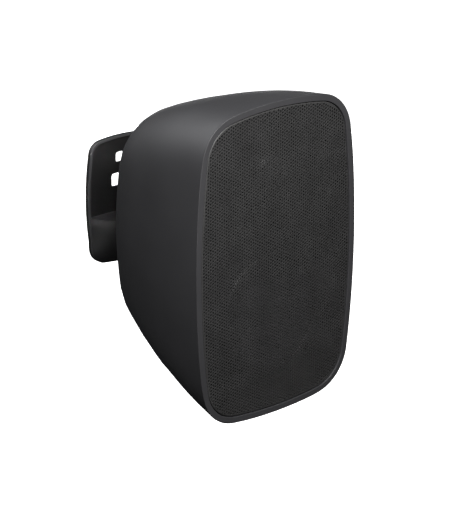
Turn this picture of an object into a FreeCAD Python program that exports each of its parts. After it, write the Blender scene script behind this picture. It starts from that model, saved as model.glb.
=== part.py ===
import FreeCAD, Part
import Sketcher
import math
import os

# A two-way wall loudspeaker on a swivel bracket.
# Frame: the wall is the plane Y = 0, the loudspeaker faces -Y, +X is to its viewer's right, +Z is up.
# The origin is the middle of the bracket's back face. "Forward" below means the distance from the wall.

# Driving dimensions, millimetres

SIZES = {
    # wall bracket
    "bracket_width": 81.0,
    "bracket_height": 124.0,
    "bracket_top_corner": 14.0,
    "bracket_bottom_corner": 18.0,
    "bracket_side_bow": 290.0,
    "bracket_end_bow": 200.0,
    "bracket_plate": 2.6,
    "bracket_rim": 2.3,
    "bracket_rim_depth": 5.0,
    "bracket_wall": 2.6,
    "chin_depth": 36.0,
    "chin_inset": 2.5,
    "shelf_drop": 13.0,
    "shelf_thickness": 3.5,
    "screw_window_width": 10.0,
    "screw_window_height": 10.0,
    "screw_window_rise": 40.0,
    "cable_window_width": 21.0,
    "cable_window_height": 13.0,
    "cable_window_rise": 18.0,
    "window_corner": 2.5,
    # swivel
    "pan_forward": 19.0,
    "pan_bolt_radius": 4.0,
    "pan_washer": 1.0,
    "pan_bolt_across": 13.0,
    "pan_bolt_head": 5.3,
    "pan_nut_height": 6.5,
    "pan_bolt_reach": 8.0,
    "pan_top_washer_radius": 8.5,
    "foot_radius": 14.0,
    "foot_height": 10.0,
    "arm_width": 16.0,
    "tilt_forward": 54.0,
    "barrel_radius": 9.0,
    "barrel_length": 22.0,
    "web_thickness": 6.0,
    "tilt_bolt_radius": 3.0,
    "tilt_washer": 1.0,
    "tilt_bolt_across": 10.0,
    "tilt_bolt_head": 4.0,
    "tilt_nut_height": 5.0,
    "tilt_bolt_reach": 7.0,
    "running_fit": 0.05,
    "body_gap": 0.3,
    "hole_clearance": 0.2,
    # hinge plate on the cabinet
    "hinge_width": 56.0,
    "hinge_height": 56.0,
    "hinge_plate": 3.0,
    "hinge_corner": 6.0,
    "hinge_screw_inset": 7.0,
    "hinge_screw_radius": 2.0,
    "hinge_screw_head": 3.8,
    "hinge_screw_head_height": 2.6,
    "hinge_screw_reach": 4.0,
    "ear_thickness": 5.0,
    "ear_radius": 10.0,
    "backing_plate": 2.0,
    "backing_corner": 4.0,
    # cabinet
    "wall_gap": 67.6,
    "cabinet_depth": 158.4,
    "cabinet_drop": 3.0,
    "front_width": 190.6,
    "front_height": 294.6,
    "front_top_corner": 41.0,
    "front_bottom_corner": 43.0,
    "front_side_bow": 814.0,
    "front_top_bow": 329.0,
    "front_bottom_bow": 409.0,
    "back_width": 135.0,
    "back_top": 104.5,
    "back_bottom": 87.5,
    "back_top_flat": 5.0,
    "back_bottom_flat": 4.0,
    "back_side_bow": 275.0,
    "back_end_bow": 300.0,
    "back_roll": 46.0,
    "cabinet_wall": 3.0,
    "front_edge": 0.8,
    "rim_width": 6.2,
    "ledge_inset": 14.0,
    "ledge_thickness": 3.5,
    # baffle and grille
    "baffle_depth": 10.0,
    "baffle_thickness": 6.0,
    "baffle_clearance": 0.4,
    "gasket_thickness": 1.0,
    "boss_radius": 6.5,
    "boss_length": 14.0,
    "boss_floor": 2.0,
    "corner_screw_side": 33.8,
    "corner_screw_end": 23.3,
    "middle_screw_side": 16.9,
    "baffle_screw_radius": 2.0,
    "baffle_screw_head": 4.5,
    "baffle_screw_head_height": 3.0,
    "screw_tip_gap": 1.0,
    "grille_recess": 0.65,
    "grille_sheet": 1.0,
    "grille_gap": 0.8,
    # woofer
    "driver_gap": 24.0,
    "driver_lift": 1.0,
    "driver_screw_radius": 1.6,
    "driver_screw_head": 3.0,
    "driver_screw_head_height": 2.0,
    "driver_screw_reach": 2.6,
    "woofer_radius": 69.0,
    "woofer_flange": 3.0,
    "woofer_screw_inset": 3.8,
    "woofer_hole_inset": 7.8,
    "basket_rim": 11.0,
    "basket_neck": 37.5,
    "spider_drop": 3.9,
    "spider_skin": 0.7,
    "spider_crest": 2.0,
    "spider_trough": 0.4,
    "basket_floor": 41.0,
    "plate_radius": 36.0,
    "top_plate": 5.0,
    "magnet_radius": 38.0,
    "magnet_thickness": 14.0,
    "back_plate": 6.0,
    "pole_radius": 12.2,
    "pole_vent": 4.0,
    "coil_gap": 0.45,
    "coil_wall": 0.55,
    "cone_skin": 1.0,
    "cone_neck_level": 25.6,
    "roll_radius": 4.0,
    "roll_skin": 0.8,
    "cap_radius": 20.0,
    "cap_height": 7.0,
    # tweeter
    "tweeter_radius": 42.0,
    "tweeter_flange": 3.0,
    "tweeter_screw_inset": 4.4,
    "tweeter_hole_inset": 9.0,
    "tweeter_motor_setback": 4.0,
    "tweeter_plate": 4.0,
    "tweeter_magnet_thickness": 8.0,
    "dome_radius": 12.9,
    "dome_height": 4.6,
    "dome_skin": 0.5,
    # terminals and crossover
    "terminal_gap": 3.0,
    "terminal_width": 50.0,
    "terminal_height": 34.0,
    "terminal_flange": 2.5,
    "terminal_corner": 4.0,
    "terminal_screw_radius": 1.1,
    "terminal_screw_head": 2.0,
    "terminal_screw_head_height": 1.5,
    "terminal_screw_length": 9.0,
    "cup_width": 42.0,
    "cup_height": 26.0,
    "cup_depth": 14.4,
    "cup_wall": 2.0,
    "cup_corner": 3.0,
    "lever_width": 13.0,
    "lever_length": 16.0,
    "lever_setback": 5.5,
    "lever_pin_radius": 1.2,
    "lever_knuckle": 2.6,
    "lever_gap": 1.0,
    "contact_width": 6.0,
    "contact_thickness": 1.2,
    "contact_drop": 8.0,
    "standoff_radius": 3.5,
    "standoff_inset": 5.0,
    "standoff_length": 5.0,
    "board_width": 72.0,
    "board_height": 50.0,
    "board_thickness": 1.6,
    "board_lift": 2.0,
    "board_corner": 2.0,
    "board_screw_radius": 1.2,
    "board_screw_head": 2.8,
    "board_screw_head_height": 1.8,
    "board_screw_length": 6.4,
    "inductor_radius": 15.0,
    "inductor_height": 13.0,
    "capacitor_radius": 7.0,
    "capacitor_length": 26.0,
    "resistor_length": 22.0,
    "resistor_side": 7.0,
    "woofer_tag_width": 12.0,
    "woofer_tag_depth": 6.0,
    "woofer_tag_height": 4.0,
    "tweeter_tag_width": 10.0,
    "tweeter_tag_depth": 5.0,
    "tweeter_tag_height": 3.0,
    "lead_radius": 1.5,
    "lead_bend": 12.0,
    "lead_side": 8.0,
    "lead_rise": 9.0,
    "woofer_lead_run": 50.0,
    "woofer_lead_fall": 26.0,
    "tweeter_lead_run": 60.0,
    "tweeter_lead_climb": 23.0,
    "pad_thickness": 18.0,
}

doc = FreeCAD.newDocument("WallLoudspeaker")
sheet = doc.addObject("Spreadsheet::Sheet", "Sizes")
for row, (alias, number) in enumerate(SIZES.items(), 1):
    sheet.set(f"A{row}", alias)
    sheet.set(f"B{row}", str(number))
    sheet.setAlias(f"B{row}", alias)
doc.recompute()

V = FreeCAD.Vector
nodes = {}


# Sizes that know both their value and the spreadsheet expression behind it

def as_size(thing):
    return thing if isinstance(thing, Size) else Size(thing, f"({float(thing)})")


class Size:
    """A length with its value now and the expression that drives it."""

    def __init__(self, value, text):
        self.value = float(value)
        self.text = text

    def __add__(self, other):
        other = as_size(other)
        return Size(self.value + other.value, f"({self.text} + {other.text})")

    def __sub__(self, other):
        other = as_size(other)
        return Size(self.value - other.value, f"({self.text} - {other.text})")

    def __mul__(self, other):
        other = as_size(other)
        return Size(self.value * other.value, f"({self.text} * {other.text})")

    def __truediv__(self, other):
        other = as_size(other)
        return Size(self.value / other.value, f"({self.text} / {other.text})")

    def __pow__(self, power):
        return Size(self.value ** power, f"({self.text} ^ {float(power)})")

    def __neg__(self):
        return Size(-self.value, f"(0 - {self.text})")

    def __radd__(self, other):
        return as_size(other) + self

    def __rsub__(self, other):
        return as_size(other) - self

    def __rmul__(self, other):
        return as_size(other) * self

    def root(self):
        return Size(math.sqrt(self.value), f"sqrt({self.text})")


class Named:
    """The sizes of the sheet, each under its alias."""


d = Named()
for alias in SIZES:
    setattr(d, alias, Size(float(sheet.get(alias)), f"Sizes.{alias}"))

face = d.wall_gap + d.cabinet_depth
cabinet_level = -d.cabinet_drop
shelf_level = -d.shelf_drop

# Places and sizes that follow from what each piece seats on

back_reach = (d.back_top + d.back_bottom) / 2


def back_corner(flat):
    """The back's corner radius that leaves a flat beside it, allowing for the bow of the sides."""
    room = d.back_width / 2 - flat
    return room - (back_reach - room) ** 2.0 / (d.back_side_bow * 2)


back_top_corner = back_corner(d.back_top_flat)
back_bottom_corner = back_corner(d.back_bottom_flat)
corner_screw_x = d.front_width / 2 - d.corner_screw_side
corner_screw_z = d.front_height / 2 - d.corner_screw_end
middle_screw_x = d.front_width / 2 - d.middle_screw_side
baffle_screw_length = (d.baffle_thickness + d.gasket_thickness + d.boss_length - d.boss_floor
                       - d.screw_tip_gap)
driver_span = d.woofer_radius * 2 + d.driver_gap + d.tweeter_radius * 2
woofer_drop = driver_span / 2 - d.woofer_radius - d.driver_lift
tweeter_rise = driver_span / 2 - d.tweeter_radius + d.driver_lift
driver_screw_length = d.baffle_thickness + d.driver_screw_reach
woofer_screw_circle = d.woofer_radius - d.woofer_screw_inset
woofer_hole_radius = d.woofer_radius - d.woofer_hole_inset
basket_inner = d.woofer_radius - d.basket_rim
spider_level = d.cone_neck_level + d.spider_drop
lip_end = woofer_screw_circle - d.driver_screw_head - 0.6
roll_middle = lip_end - 1.6 - d.roll_radius
cone_radius = roll_middle - d.roll_radius + 1
tweeter_screw_circle = d.tweeter_radius - d.tweeter_screw_inset
tweeter_hole_radius = d.tweeter_radius - d.tweeter_hole_inset
tweeter_magnet_radius = tweeter_hole_radius - 3
tweeter_plate_radius = tweeter_hole_radius - 5
dome_pole_radius = d.dome_radius - d.coil_gap * 2
hinge_screw_x = d.hinge_width / 2 - d.hinge_screw_inset
hinge_screw_z = d.hinge_height / 2 - d.hinge_screw_inset
hinge_screw_length = d.hinge_plate + d.cabinet_wall + d.backing_plate + d.hinge_screw_reach
terminal_rise = d.hinge_height / 2 + d.terminal_height / 2 + d.terminal_gap


# Drawing helpers: every point of a sketch is tied to the sheet

def drive(thing, prop, size):
    """Bind a property of a document object to a size."""
    thing.setExpression(prop, as_size(size).text)


def dimension(sketch, kind, refs, size):
    size = as_size(size)
    index = sketch.addConstraint(Sketcher.Constraint(kind, *refs, size.value))
    sketch.setExpression(f"Constraints[{index}]", size.text)


def pin_point(sketch, geo, pos, x, y):
    dimension(sketch, "DistanceX", (-1, 1, geo, pos), x)
    dimension(sketch, "DistanceY", (-1, 1, geo, pos), y)


def arc_between(start, end, centre, turn):
    """An arc from start to end about centre; Sketcher keeps every arc anticlockwise."""
    first, last = (start, end) if turn == "ccw" else (end, start)
    angle = [math.atan2(p[1] - centre[1], p[0] - centre[0]) for p in (first, last)]
    radius = math.hypot(start[0] - centre[0], start[1] - centre[1])
    return Part.ArcOfCircle(Part.Circle(V(*centre, 0), V(0, 0, 1), radius), angle[0], angle[1])


def draw_path(sketch, corners):
    """A closed run of lines and arcs.

    A corner is (x, y), or (x, y, turn, rule, size) where the run reaches it along an arc. The rule
    says where the arc's centre lies: at a "level" up the sketch, or at a place "across" it.
    """
    ends = []
    for number, corner in enumerate(corners):
        x0, y0 = [as_size(c).value for c in corners[number - 1][:2]]
        x1, y1 = [as_size(c).value for c in corner[:2]]
        if len(corner) == 2:
            geo = sketch.addGeometry(Part.LineSegment(V(x0, y0, 0), V(x1, y1, 0)), False)
            ends.append((geo, 1, 2))
            continue
        turn, rule, size = corner[2:]
        known = as_size(size).value
        if rule == "level":
            lift = (y1 - known) ** 2 - (y0 - known) ** 2
            centre = ((x1 ** 2 - x0 ** 2 + lift) / (2 * (x1 - x0)), known)
        else:
            reach = (x1 - known) ** 2 - (x0 - known) ** 2
            centre = (known, (y1 ** 2 - y0 ** 2 + reach) / (2 * (y1 - y0)))
        geo = sketch.addGeometry(arc_between((x0, y0), (x1, y1), centre, turn), False)
        ends.append((geo, 1, 2) if turn == "ccw" else (geo, 2, 1))
    for number, (geo, start, end) in enumerate(ends):
        following = ends[(number + 1) % len(ends)]
        sketch.addConstraint(Sketcher.Constraint("Coincident", geo, end, following[0], following[1]))
    for corner, (geo, start, end) in zip(corners, ends):
        pin_point(sketch, geo, end, corner[0], corner[1])
        if len(corner) == 5:
            kind = "DistanceY" if corner[3] == "level" else "DistanceX"
            dimension(sketch, kind, (-1, 1, geo, 3), corner[4])


def draw_circle(sketch, x, y, radius):
    centre = V(as_size(x).value, as_size(y).value, 0)
    geo = sketch.addGeometry(Part.Circle(centre, V(0, 0, 1), as_size(radius).value), False)
    pin_point(sketch, geo, 3, x, y)
    dimension(sketch, "Radius", (geo,), radius)


def draw_plate(sketch, width, height, corner, y=0.0):
    """A rounded rectangle centred on the upright axis, its middle at height y."""
    x = as_size(width) / 2 - corner
    z = as_size(height) / 2 - corner
    middle = as_size(y)
    centres = [(x, middle + z), (-x, middle + z), (-x, middle - z), (x, middle - z)]
    arcs = []
    for number, (cx, cy) in enumerate(centres):
        start = number * math.pi / 2
        circle = Part.Circle(V(cx.value, cy.value, 0), V(0, 0, 1), as_size(corner).value)
        geo = sketch.addGeometry(Part.ArcOfCircle(circle, start, start + math.pi / 2), False)
        pin_point(sketch, geo, 3, cx, cy)
        dimension(sketch, "Radius", (geo,), corner)
        arcs.append(geo)
    for number, geo in enumerate(arcs):
        following = arcs[(number + 1) % 4]
        a = sketch.getPoint(geo, 2)
        b = sketch.getPoint(following, 1)
        line = sketch.addGeometry(Part.LineSegment(a, b), False)
        sketch.addConstraint(Sketcher.Constraint("Tangent", geo, 2, line, 1))
        sketch.addConstraint(Sketcher.Constraint("Tangent", line, 2, following, 1))


def meet(centre_a, radius_a, centre_b, radius_b, upper):
    """Where two circles cross, the upper or lower of the two points."""
    dx, dy = centre_b[0] - centre_a[0], centre_b[1] - centre_a[1]
    apart = math.hypot(dx, dy)
    along = (radius_a ** 2 - radius_b ** 2 + apart ** 2) / (2 * apart)
    across = math.sqrt(radius_a ** 2 - along ** 2)
    ux, uy = dx / apart, dy / apart
    points = [(centre_a[0] + along * ux - side * across * uy,
               centre_a[1] + along * uy + side * across * ux) for side in (1, -1)]
    return max(points, key=lambda p: p[1]) if upper else min(points, key=lambda p: p[1])


def beyond(centre, through, radius):
    """The point at a radius from a centre, on the line through another point."""
    dx, dy = through[0] - centre[0], through[1] - centre[1]
    scale = radius / math.hypot(dx, dy)
    return (centre[0] + dx * scale, centre[1] + dy * scale)


def barrel_arcs(form):
    """The eight tangent arcs of a soft rectangle, anticlockwise, as (start, end, centre).

    form: half width, top, bottom (both measured from the datum), corner radii, bow radii and the
    height at which the sides are widest.
    """
    n = [s.value for s in form]
    side_c = (n[0] - n[5], n[8])
    top_c = (0.0, n[1] - n[6])
    bottom_c = (0.0, n[7] - n[2])
    corner_t = meet(side_c, n[5] - n[3], top_c, n[6] - n[3], True)
    corner_b = meet(side_c, n[5] - n[4], bottom_c, n[7] - n[4], False)
    t1 = beyond(top_c, corner_t, n[6])
    t2 = beyond(side_c, corner_t, n[5])
    t3 = beyond(side_c, corner_b, n[5])
    t4 = beyond(bottom_c, corner_b, n[7])

    def left(p):
        return (-p[0], p[1])

    return [
        (t3, t2, side_c), (t2, t1, corner_t), (t1, left(t1), top_c), (left(t1), left(t2), left(corner_t)),
        (left(t2), left(t3), left(side_c)), (left(t3), left(t4), left(corner_b)), (left(t4), t4, bottom_c),
        (t4, t3, corner_b),
    ]


def draw_barrel(sketch, form):
    """The soft rectangle as a sketch: radii and arc centres driven, tangency does the rest."""
    half, top, bottom, top_corner, bottom_corner, side_bow, top_bow, bottom_bow, widest = form
    rules = [
        (side_bow, (half - side_bow, widest)), (top_corner, None), (top_bow, (as_size(0), top - top_bow)),
        (top_corner, None), (side_bow, (side_bow - half, widest)), (bottom_corner, None),
        (bottom_bow, (as_size(0), bottom_bow - bottom)), (bottom_corner, None),
    ]
    arcs = [sketch.addGeometry(arc_between(*run, "ccw"), False) for run in barrel_arcs(form)]
    for number, geo in enumerate(arcs):
        following = arcs[(number + 1) % 8]
        sketch.addConstraint(Sketcher.Constraint("Tangent", geo, 2, following, 1))
    for geo, (radius, place) in zip(arcs, rules):
        dimension(sketch, "Radius", (geo,), radius)
        if place:
            pin_point(sketch, geo, 3, *place)


# Body helpers

def plane_of(body, role):
    return [feature for feature in body.Origin.OriginFeatures if feature.Role == role][0]


def new_body(label):
    body = doc.addObject("PartDesign::Body", label)
    body.Label = label
    nodes[label] = body
    return body


def new_sketch(body, role="XZ_Plane", offset=None):
    sketch = body.newObject("Sketcher::SketchObject", f"{body.Name}_sketch")
    sketch.AttachmentSupport = [(plane_of(body, role), "")]
    sketch.MapMode = "FlatFace"
    if offset is not None:
        sketch.AttachmentOffset = FreeCAD.Placement(V(0, 0, as_size(offset).value), FreeCAD.Rotation())
        drive(sketch, "AttachmentOffset.Base.z", offset)
    return sketch


def pad(body, sketch, length):
    feature = body.newObject("PartDesign::Pad", f"{body.Name}_pad")
    feature.Profile = sketch
    drive(feature, "Length", length)
    sketch.Visibility = False
    return feature


def pocket(body, sketch, length):
    """Cut along the sketch's normal: forward for a sketch on the XZ plane."""
    doc.recompute()
    before = body.Shape.Volume
    feature = body.newObject("PartDesign::Pocket", f"{body.Name}_pocket")
    feature.Profile = sketch
    feature.Reversed = True
    drive(feature, "Length", length)
    doc.recompute()
    if body.Shape.Volume > before - 0.01:
        raise RuntimeError(f"{body.Label}: a pocket took nothing away")
    return feature


def mirror(body, features, role="YZ_Plane"):
    feature = body.newObject("PartDesign::Mirrored", f"{body.Name}_mirror")
    feature.Originals = features
    feature.MirrorPlane = (plane_of(body, role), [""])
    body.Tip = feature
    return feature


def place(thing, x=0.0, forward=0.0, z=0.0, turn=None):
    if turn is not None:
        thing.Placement = FreeCAD.Placement(V(0, 0, 0), turn)
    drive(thing, "Placement.Base.x", x)
    drive(thing, "Placement.Base.y", -as_size(forward))
    drive(thing, "Placement.Base.z", z)


facing = FreeCAD.Rotation(V(1, 0, 0), 90)
sideways = FreeCAD.Rotation(V(0, 1, 0), 90)
upright = FreeCAD.Rotation()
backward = FreeCAD.Rotation(V(1, 0, 0), -90)


def turned(label, corners, x=0.0, forward=0.0, z=0.0, axis=facing):
    """A solid of revolution: corners are (radius, height along its own axis)."""
    body = new_body(label)
    sketch = new_sketch(body)
    draw_path(sketch, corners)
    feature = body.newObject("PartDesign::Revolution", f"{label}_turn")
    feature.Profile = sketch
    feature.ReferenceAxis = (sketch, ["V_Axis"])
    feature.Angle = 360
    sketch.Visibility = False
    place(body, x, forward, z, axis)
    return body


def ring(inner, outer, low, high):
    return [(inner, low), (outer, low), (outer, high), (inner, high)]


def plate(label, width, height, corner, start, thickness, level=0.0, holes=()):
    """A rounded flat plate parallel to the wall, with round holes (x, z, radius)."""
    body = new_body(label)
    sketch = new_sketch(body, offset=start)
    draw_plate(sketch, width, height, corner, level)
    for hole in holes:
        draw_circle(sketch, *hole)
    pad(body, sketch, thickness)
    return body


def boolean(kind, label, base, tool):
    """A Part cut, fuse or common of two document objects."""
    feature = doc.addObject(f"Part::{kind}", label)
    feature.Base = base
    feature.Tool = tool
    feature.Label = label
    return feature


def fuse_all(label, things):
    feature = doc.addObject("Part::MultiFuse", label)
    feature.Shapes = things
    feature.Refine = True
    return feature


def cylinder(name, radius, length, x, forward, z, turn=facing):
    thing = doc.addObject("Part::Cylinder", name)
    place(thing, x, forward, z, turn)
    drive(thing, "Radius", radius)
    drive(thing, "Height", length)
    return thing


def block(name, width, deep, tall, x, forward, z):
    """A box: x is its middle, forward its far face, z its underside."""
    thing = doc.addObject("Part::Box", name)
    drive(thing, "Length", width)
    drive(thing, "Width", deep)
    drive(thing, "Height", tall)
    place(thing, as_size(x) - as_size(width) / 2, forward, z)
    return thing


def free_sketch(name, turn):
    sketch = doc.addObject("Sketcher::SketchObject", name)
    sketch.Placement = FreeCAD.Placement(V(0, 0, 0), turn)
    return sketch


def extrusion(name, sketch, length):
    feature = doc.addObject("Part::Extrusion", name)
    feature.Base = sketch
    feature.DirMode = "Normal"
    feature.Solid = True
    drive(feature, "LengthFwd", length)
    return feature


def loft(name, sections):
    feature = doc.addObject("Part::Loft", name)
    feature.Sections = sections
    feature.Solid = True
    feature.Ruled = False
    return feature


def group(label, pattern, places):
    """Identical fasteners in one node: copies of one turned pattern at (x, forward, z)."""
    doc.recompute()
    feature = doc.addObject("Part::Feature", label)
    feature.Label = label
    copies = []
    for x, forward, z in places:
        copy = pattern.Shape.copy()
        copy.translate(V(as_size(x).value, -as_size(forward).value, as_size(z).value))
        copies.append(copy)
    feature.Shape = Part.makeCompound(copies)
    nodes[label] = feature
    return feature


def screw_pattern(label, head_radius, head_height, shank_radius, length, axis=facing):
    """A pan-head screw whose head seats at height 0, with a cross-shaped drive left to the look."""
    shoulder = as_size(head_height) * 0.6
    body = turned(label, [
        (0, -as_size(length)), (as_size(shank_radius) * 0.5, -as_size(length)),
        (shank_radius, as_size(shank_radius) * 1.5 - length), (shank_radius, 0), (head_radius, 0),
        (head_radius, shoulder), (as_size(head_radius) * 0.72, head_height), (0, head_height),
    ], axis=axis)
    nodes.pop(label)
    return body


# Cabinet shell: a loft through barrel-shaped sections, hollowed by the same sections set in

# How late each wall draws in towards the back: 1 is a straight taper
SIDE_DRAW = 2.4
TOP_DRAW = 1.62
BOTTOM_DRAW = 1.15


def cabinet_form(depth, inset):
    """The cabinet's outline at a depth behind the front face, drawn in by an inset."""
    share = as_size(depth) / d.cabinet_depth
    inset = as_size(inset)

    def blend(front, back, power=1.0):
        return front + (back - front) * share ** power

    top = blend(d.front_height / 2, d.back_top, TOP_DRAW)
    bottom = blend(d.front_height / 2, d.back_bottom, BOTTOM_DRAW)
    return (
        blend(d.front_width / 2, d.back_width / 2, SIDE_DRAW) - inset,
        top - inset,
        bottom - inset,
        blend(d.front_top_corner, back_top_corner) - inset,
        blend(d.front_bottom_corner, back_bottom_corner) - inset,
        blend(d.front_side_bow, d.back_side_bow) - inset,
        blend(d.front_top_bow, d.back_end_bow) - inset,
        blend(d.front_bottom_bow, d.back_end_bow) - inset,
        (top - bottom) / 2 * share,
    )


def front_opening(name, back, inset, length):
    """A straight hole of the front outline, drawn in by an inset, from a forward distance onward."""
    sketch = free_sketch(f"{name}_sketch", facing)
    place(sketch, 0, back, cabinet_level)
    draw_barrel(sketch, front_form(inset))
    return extrusion(name, sketch, length)


def front_form(inset):
    return cabinet_form(as_size(0), inset)


def edges_in_plane(shape, forward):
    """The numbers of a shape's edges that lie in a plane parallel to the wall."""
    y = -as_size(forward).value
    return [number for number, edge in enumerate(shape.Edges, 1)
            if abs(edge.BoundBox.YMin - y) < 0.01 and abs(edge.BoundBox.YMax - y) < 0.01]


def cabinet_form_solid(name, start, end, inset, roll):
    """A smooth loft between two depths, with its rear edge rolled over."""
    sections = []
    for number, share in enumerate((0.0, 0.5, 1.0)):
        depth = start + (end - start) * share
        sketch = free_sketch(f"{name}_section{number}", facing)
        place(sketch, 0, face - depth, cabinet_level)
        draw_barrel(sketch, cabinet_form(depth, inset))
        sections.append(sketch)
    tapered = loft(f"{name}_loft", sections)
    doc.recompute()
    rolled = doc.addObject("Part::Fillet", name)
    rolled.Base = tapered
    rear_edges = edges_in_plane(tapered.Shape, face - end)
    rolled.Edges = [(number, roll.value, roll.value) for number in rear_edges]
    return rolled


screw_places = [(sx * corner_screw_x, sz * corner_screw_z) for sx in (-1, 1) for sz in (-1, 1)]
screw_places += [(sx * middle_screw_x, as_size(0)) for sx in (-1, 1)]
baffle_front = face - d.baffle_depth
baffle_back = baffle_front - d.baffle_thickness
ledge_front = baffle_back - d.gasket_thickness
ledge_back = ledge_front - d.ledge_thickness
back_inside = d.wall_gap + d.cabinet_wall

outer_form = cabinet_form_solid("cabinet_outer", as_size(0), d.cabinet_depth, as_size(0), d.back_roll)
inner_form = cabinet_form_solid("cabinet_inner", face - ledge_back, d.cabinet_depth - d.cabinet_wall,
                                d.cabinet_wall, d.back_roll - d.cabinet_wall)
doc.recompute()
softened = doc.addObject("Part::Chamfer", "cabinet_softened")
softened.Base = outer_form
softened.Edges = [(number, d.front_edge.value, d.front_edge.value)
                  for number in edges_in_plane(outer_form.Shape, face)]
opening = front_opening("rim_opening", ledge_front, d.rim_width, face - ledge_front + 1)
ledge_opening = front_opening("ledge_opening", ledge_back - 1, d.ledge_inset, d.ledge_thickness + 2)
hollow = fuse_all("cabinet_hollow", [inner_form, opening, ledge_opening])

# The screw bosses are left standing in the hollow, so none can reach past the outer wall
bosses = []
pilots = []
boss_back = ledge_front - d.boss_length
for number, (x, z) in enumerate(screw_places):
    level = cabinet_level + z
    bosses.append(cylinder(f"boss{number}", d.boss_radius, d.boss_length, x, boss_back, level))
    pilots.append(cylinder(f"pilot{number}", d.baffle_screw_radius, d.boss_length, x,
                           boss_back + d.boss_floor, level))
hinge_holes = [(sx * hinge_screw_x, sz * hinge_screw_z) for sx in (-1, 1) for sz in (-1, 1)]
for number, (x, z) in enumerate(hinge_holes):
    pilots.append(cylinder(f"hinge_hole{number}", d.hinge_screw_radius, d.cabinet_wall * 3, x,
                           d.wall_gap - d.cabinet_wall, z))
cup_cut_sketch = free_sketch("cup_cut_sketch", facing)
place(cup_cut_sketch, 0, d.wall_gap - 2, terminal_rise)
draw_plate(cup_cut_sketch, d.cup_width + d.hole_clearance * 2,
           d.cup_height + d.hole_clearance * 2, d.cup_corner + d.hole_clearance)
pilots.append(extrusion("cup_cut", cup_cut_sketch, d.cabinet_wall + 4))
terminal_screw_x = (d.terminal_width + d.cup_width) / 4
for side in (-1, 1):
    pilots.append(cylinder(f"terminal_pilot{side + 1}", d.terminal_screw_radius, d.cabinet_wall * 3,
                           side * terminal_screw_x, d.wall_gap - d.cabinet_wall, terminal_rise))
boss_set = fuse_all("boss_set", bosses)
space_left = boolean("Cut", "cabinet_space", hollow, boss_set)
hollowed = boolean("Cut", "cabinet_hollowed", softened, space_left)
pilot_set = fuse_all("pilot_set", pilots)
shell = boolean("Cut", "cabinet_shell", hollowed, pilot_set)
nodes["cabinet_shell"] = shell


# Baffle, its gasket and screws, and the pressed grille in front of it

woofer_level = cabinet_level - woofer_drop
tweeter_level = cabinet_level + tweeter_rise

baffle = new_body("front_baffle")
place(baffle, z=cabinet_level)
panel = new_sketch(baffle, offset=baffle_back)
draw_barrel(panel, front_form(d.rim_width + d.baffle_clearance))
draw_circle(panel, 0, -woofer_drop, woofer_hole_radius)
draw_circle(panel, 0, tweeter_rise, tweeter_hole_radius)
for x, z in screw_places:
    draw_circle(panel, x, z, d.baffle_screw_radius + d.hole_clearance)
woofer_diagonal = woofer_screw_circle * math.sqrt(0.5)
tweeter_diagonal = tweeter_screw_circle * math.sqrt(0.5)
for sx in (-1, 1):
    for sz in (-1, 1):
        for reach, middle in ((woofer_diagonal, -woofer_drop), (tweeter_diagonal, tweeter_rise)):
            draw_circle(panel, sx * reach, sz * reach + middle, d.driver_screw_radius)
pad(baffle, panel, d.baffle_thickness)
woofer_seat = new_sketch(baffle, offset=baffle_front - d.woofer_flange)
draw_circle(woofer_seat, 0, -woofer_drop, d.woofer_radius + d.hole_clearance)
pocket(baffle, woofer_seat, d.woofer_flange)
tweeter_seat = new_sketch(baffle, offset=baffle_front - d.tweeter_flange)
draw_circle(tweeter_seat, 0, tweeter_rise, d.tweeter_radius + d.hole_clearance)
pocket(baffle, tweeter_seat, d.tweeter_flange)

gasket = new_body("baffle_gasket")
place(gasket, z=cabinet_level)
gasket_sketch = new_sketch(gasket, offset=ledge_front)
draw_barrel(gasket_sketch, front_form(d.rim_width + 1.2))
draw_barrel(gasket_sketch, front_form(d.ledge_inset - 1))
pad(gasket, gasket_sketch, d.gasket_thickness)

baffle_screw = screw_pattern("baffle_screw_pattern", d.baffle_screw_head, d.baffle_screw_head_height,
                             d.baffle_screw_radius, baffle_screw_length)
group("baffle_screws", baffle_screw, [(x, baffle_front, cabinet_level + z) for x, z in screw_places])

grille = new_body("grille")
place(grille, z=cabinet_level)
grille_front = face - d.grille_recess
grille_edge = d.rim_width + d.grille_gap
pan = new_sketch(grille, offset=baffle_front)
draw_barrel(pan, front_form(grille_edge))
pad(grille, pan, grille_front - baffle_front)
pan_inside = new_sketch(grille, offset=baffle_front)
draw_barrel(pan_inside, front_form(grille_edge + d.grille_sheet))
pocket(grille, pan_inside, grille_front - baffle_front - d.grille_sheet)


# Woofer, turned about its own axis; height 0 is the baffle's front face

def woofer_part(label, corners):
    return turned(label, corners, 0, baffle_front, woofer_level)


ledge_low = -spider_level
floor_low = -d.basket_floor
basket = woofer_part("woofer_basket", [
    (basket_inner, 0), (d.woofer_radius, 0), (d.woofer_radius, -d.woofer_flange),
    (basket_inner + 2.5, -d.woofer_flange), (d.basket_neck + 2, ledge_low - 1.5),
    (d.basket_neck + 0.5, floor_low), (d.basket_neck - 17.5, floor_low),
    (d.basket_neck - 17.5, floor_low + 2), (d.basket_neck - 1.5, floor_low + 2),
    (d.basket_neck - 1.5, ledge_low - 2), (d.basket_neck - 6.5, ledge_low - 2),
    (d.basket_neck - 6.5, ledge_low), (d.basket_neck, ledge_low), (basket_inner, -d.woofer_flange),
])
window = new_sketch(basket, "XY_Plane", floor_low - 1)
near, far = d.basket_neck + 4.5, basket_inner - 3
draw_path(window, [(near * 0.95, near * -0.31), (far * 0.93, far * -0.36),
                   (far * 0.93, far * 0.36), (near * 0.95, near * 0.31)])
basket_window = pocket(basket, window, d.basket_floor - 3)
basket_windows = basket.newObject("PartDesign::PolarPattern", "basket_windows")
basket_windows.Originals = [basket_window]
basket_windows.Axis = (window, ["N_Axis"])
basket_windows.Angle = 360
basket_windows.Occurrences = 6
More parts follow.
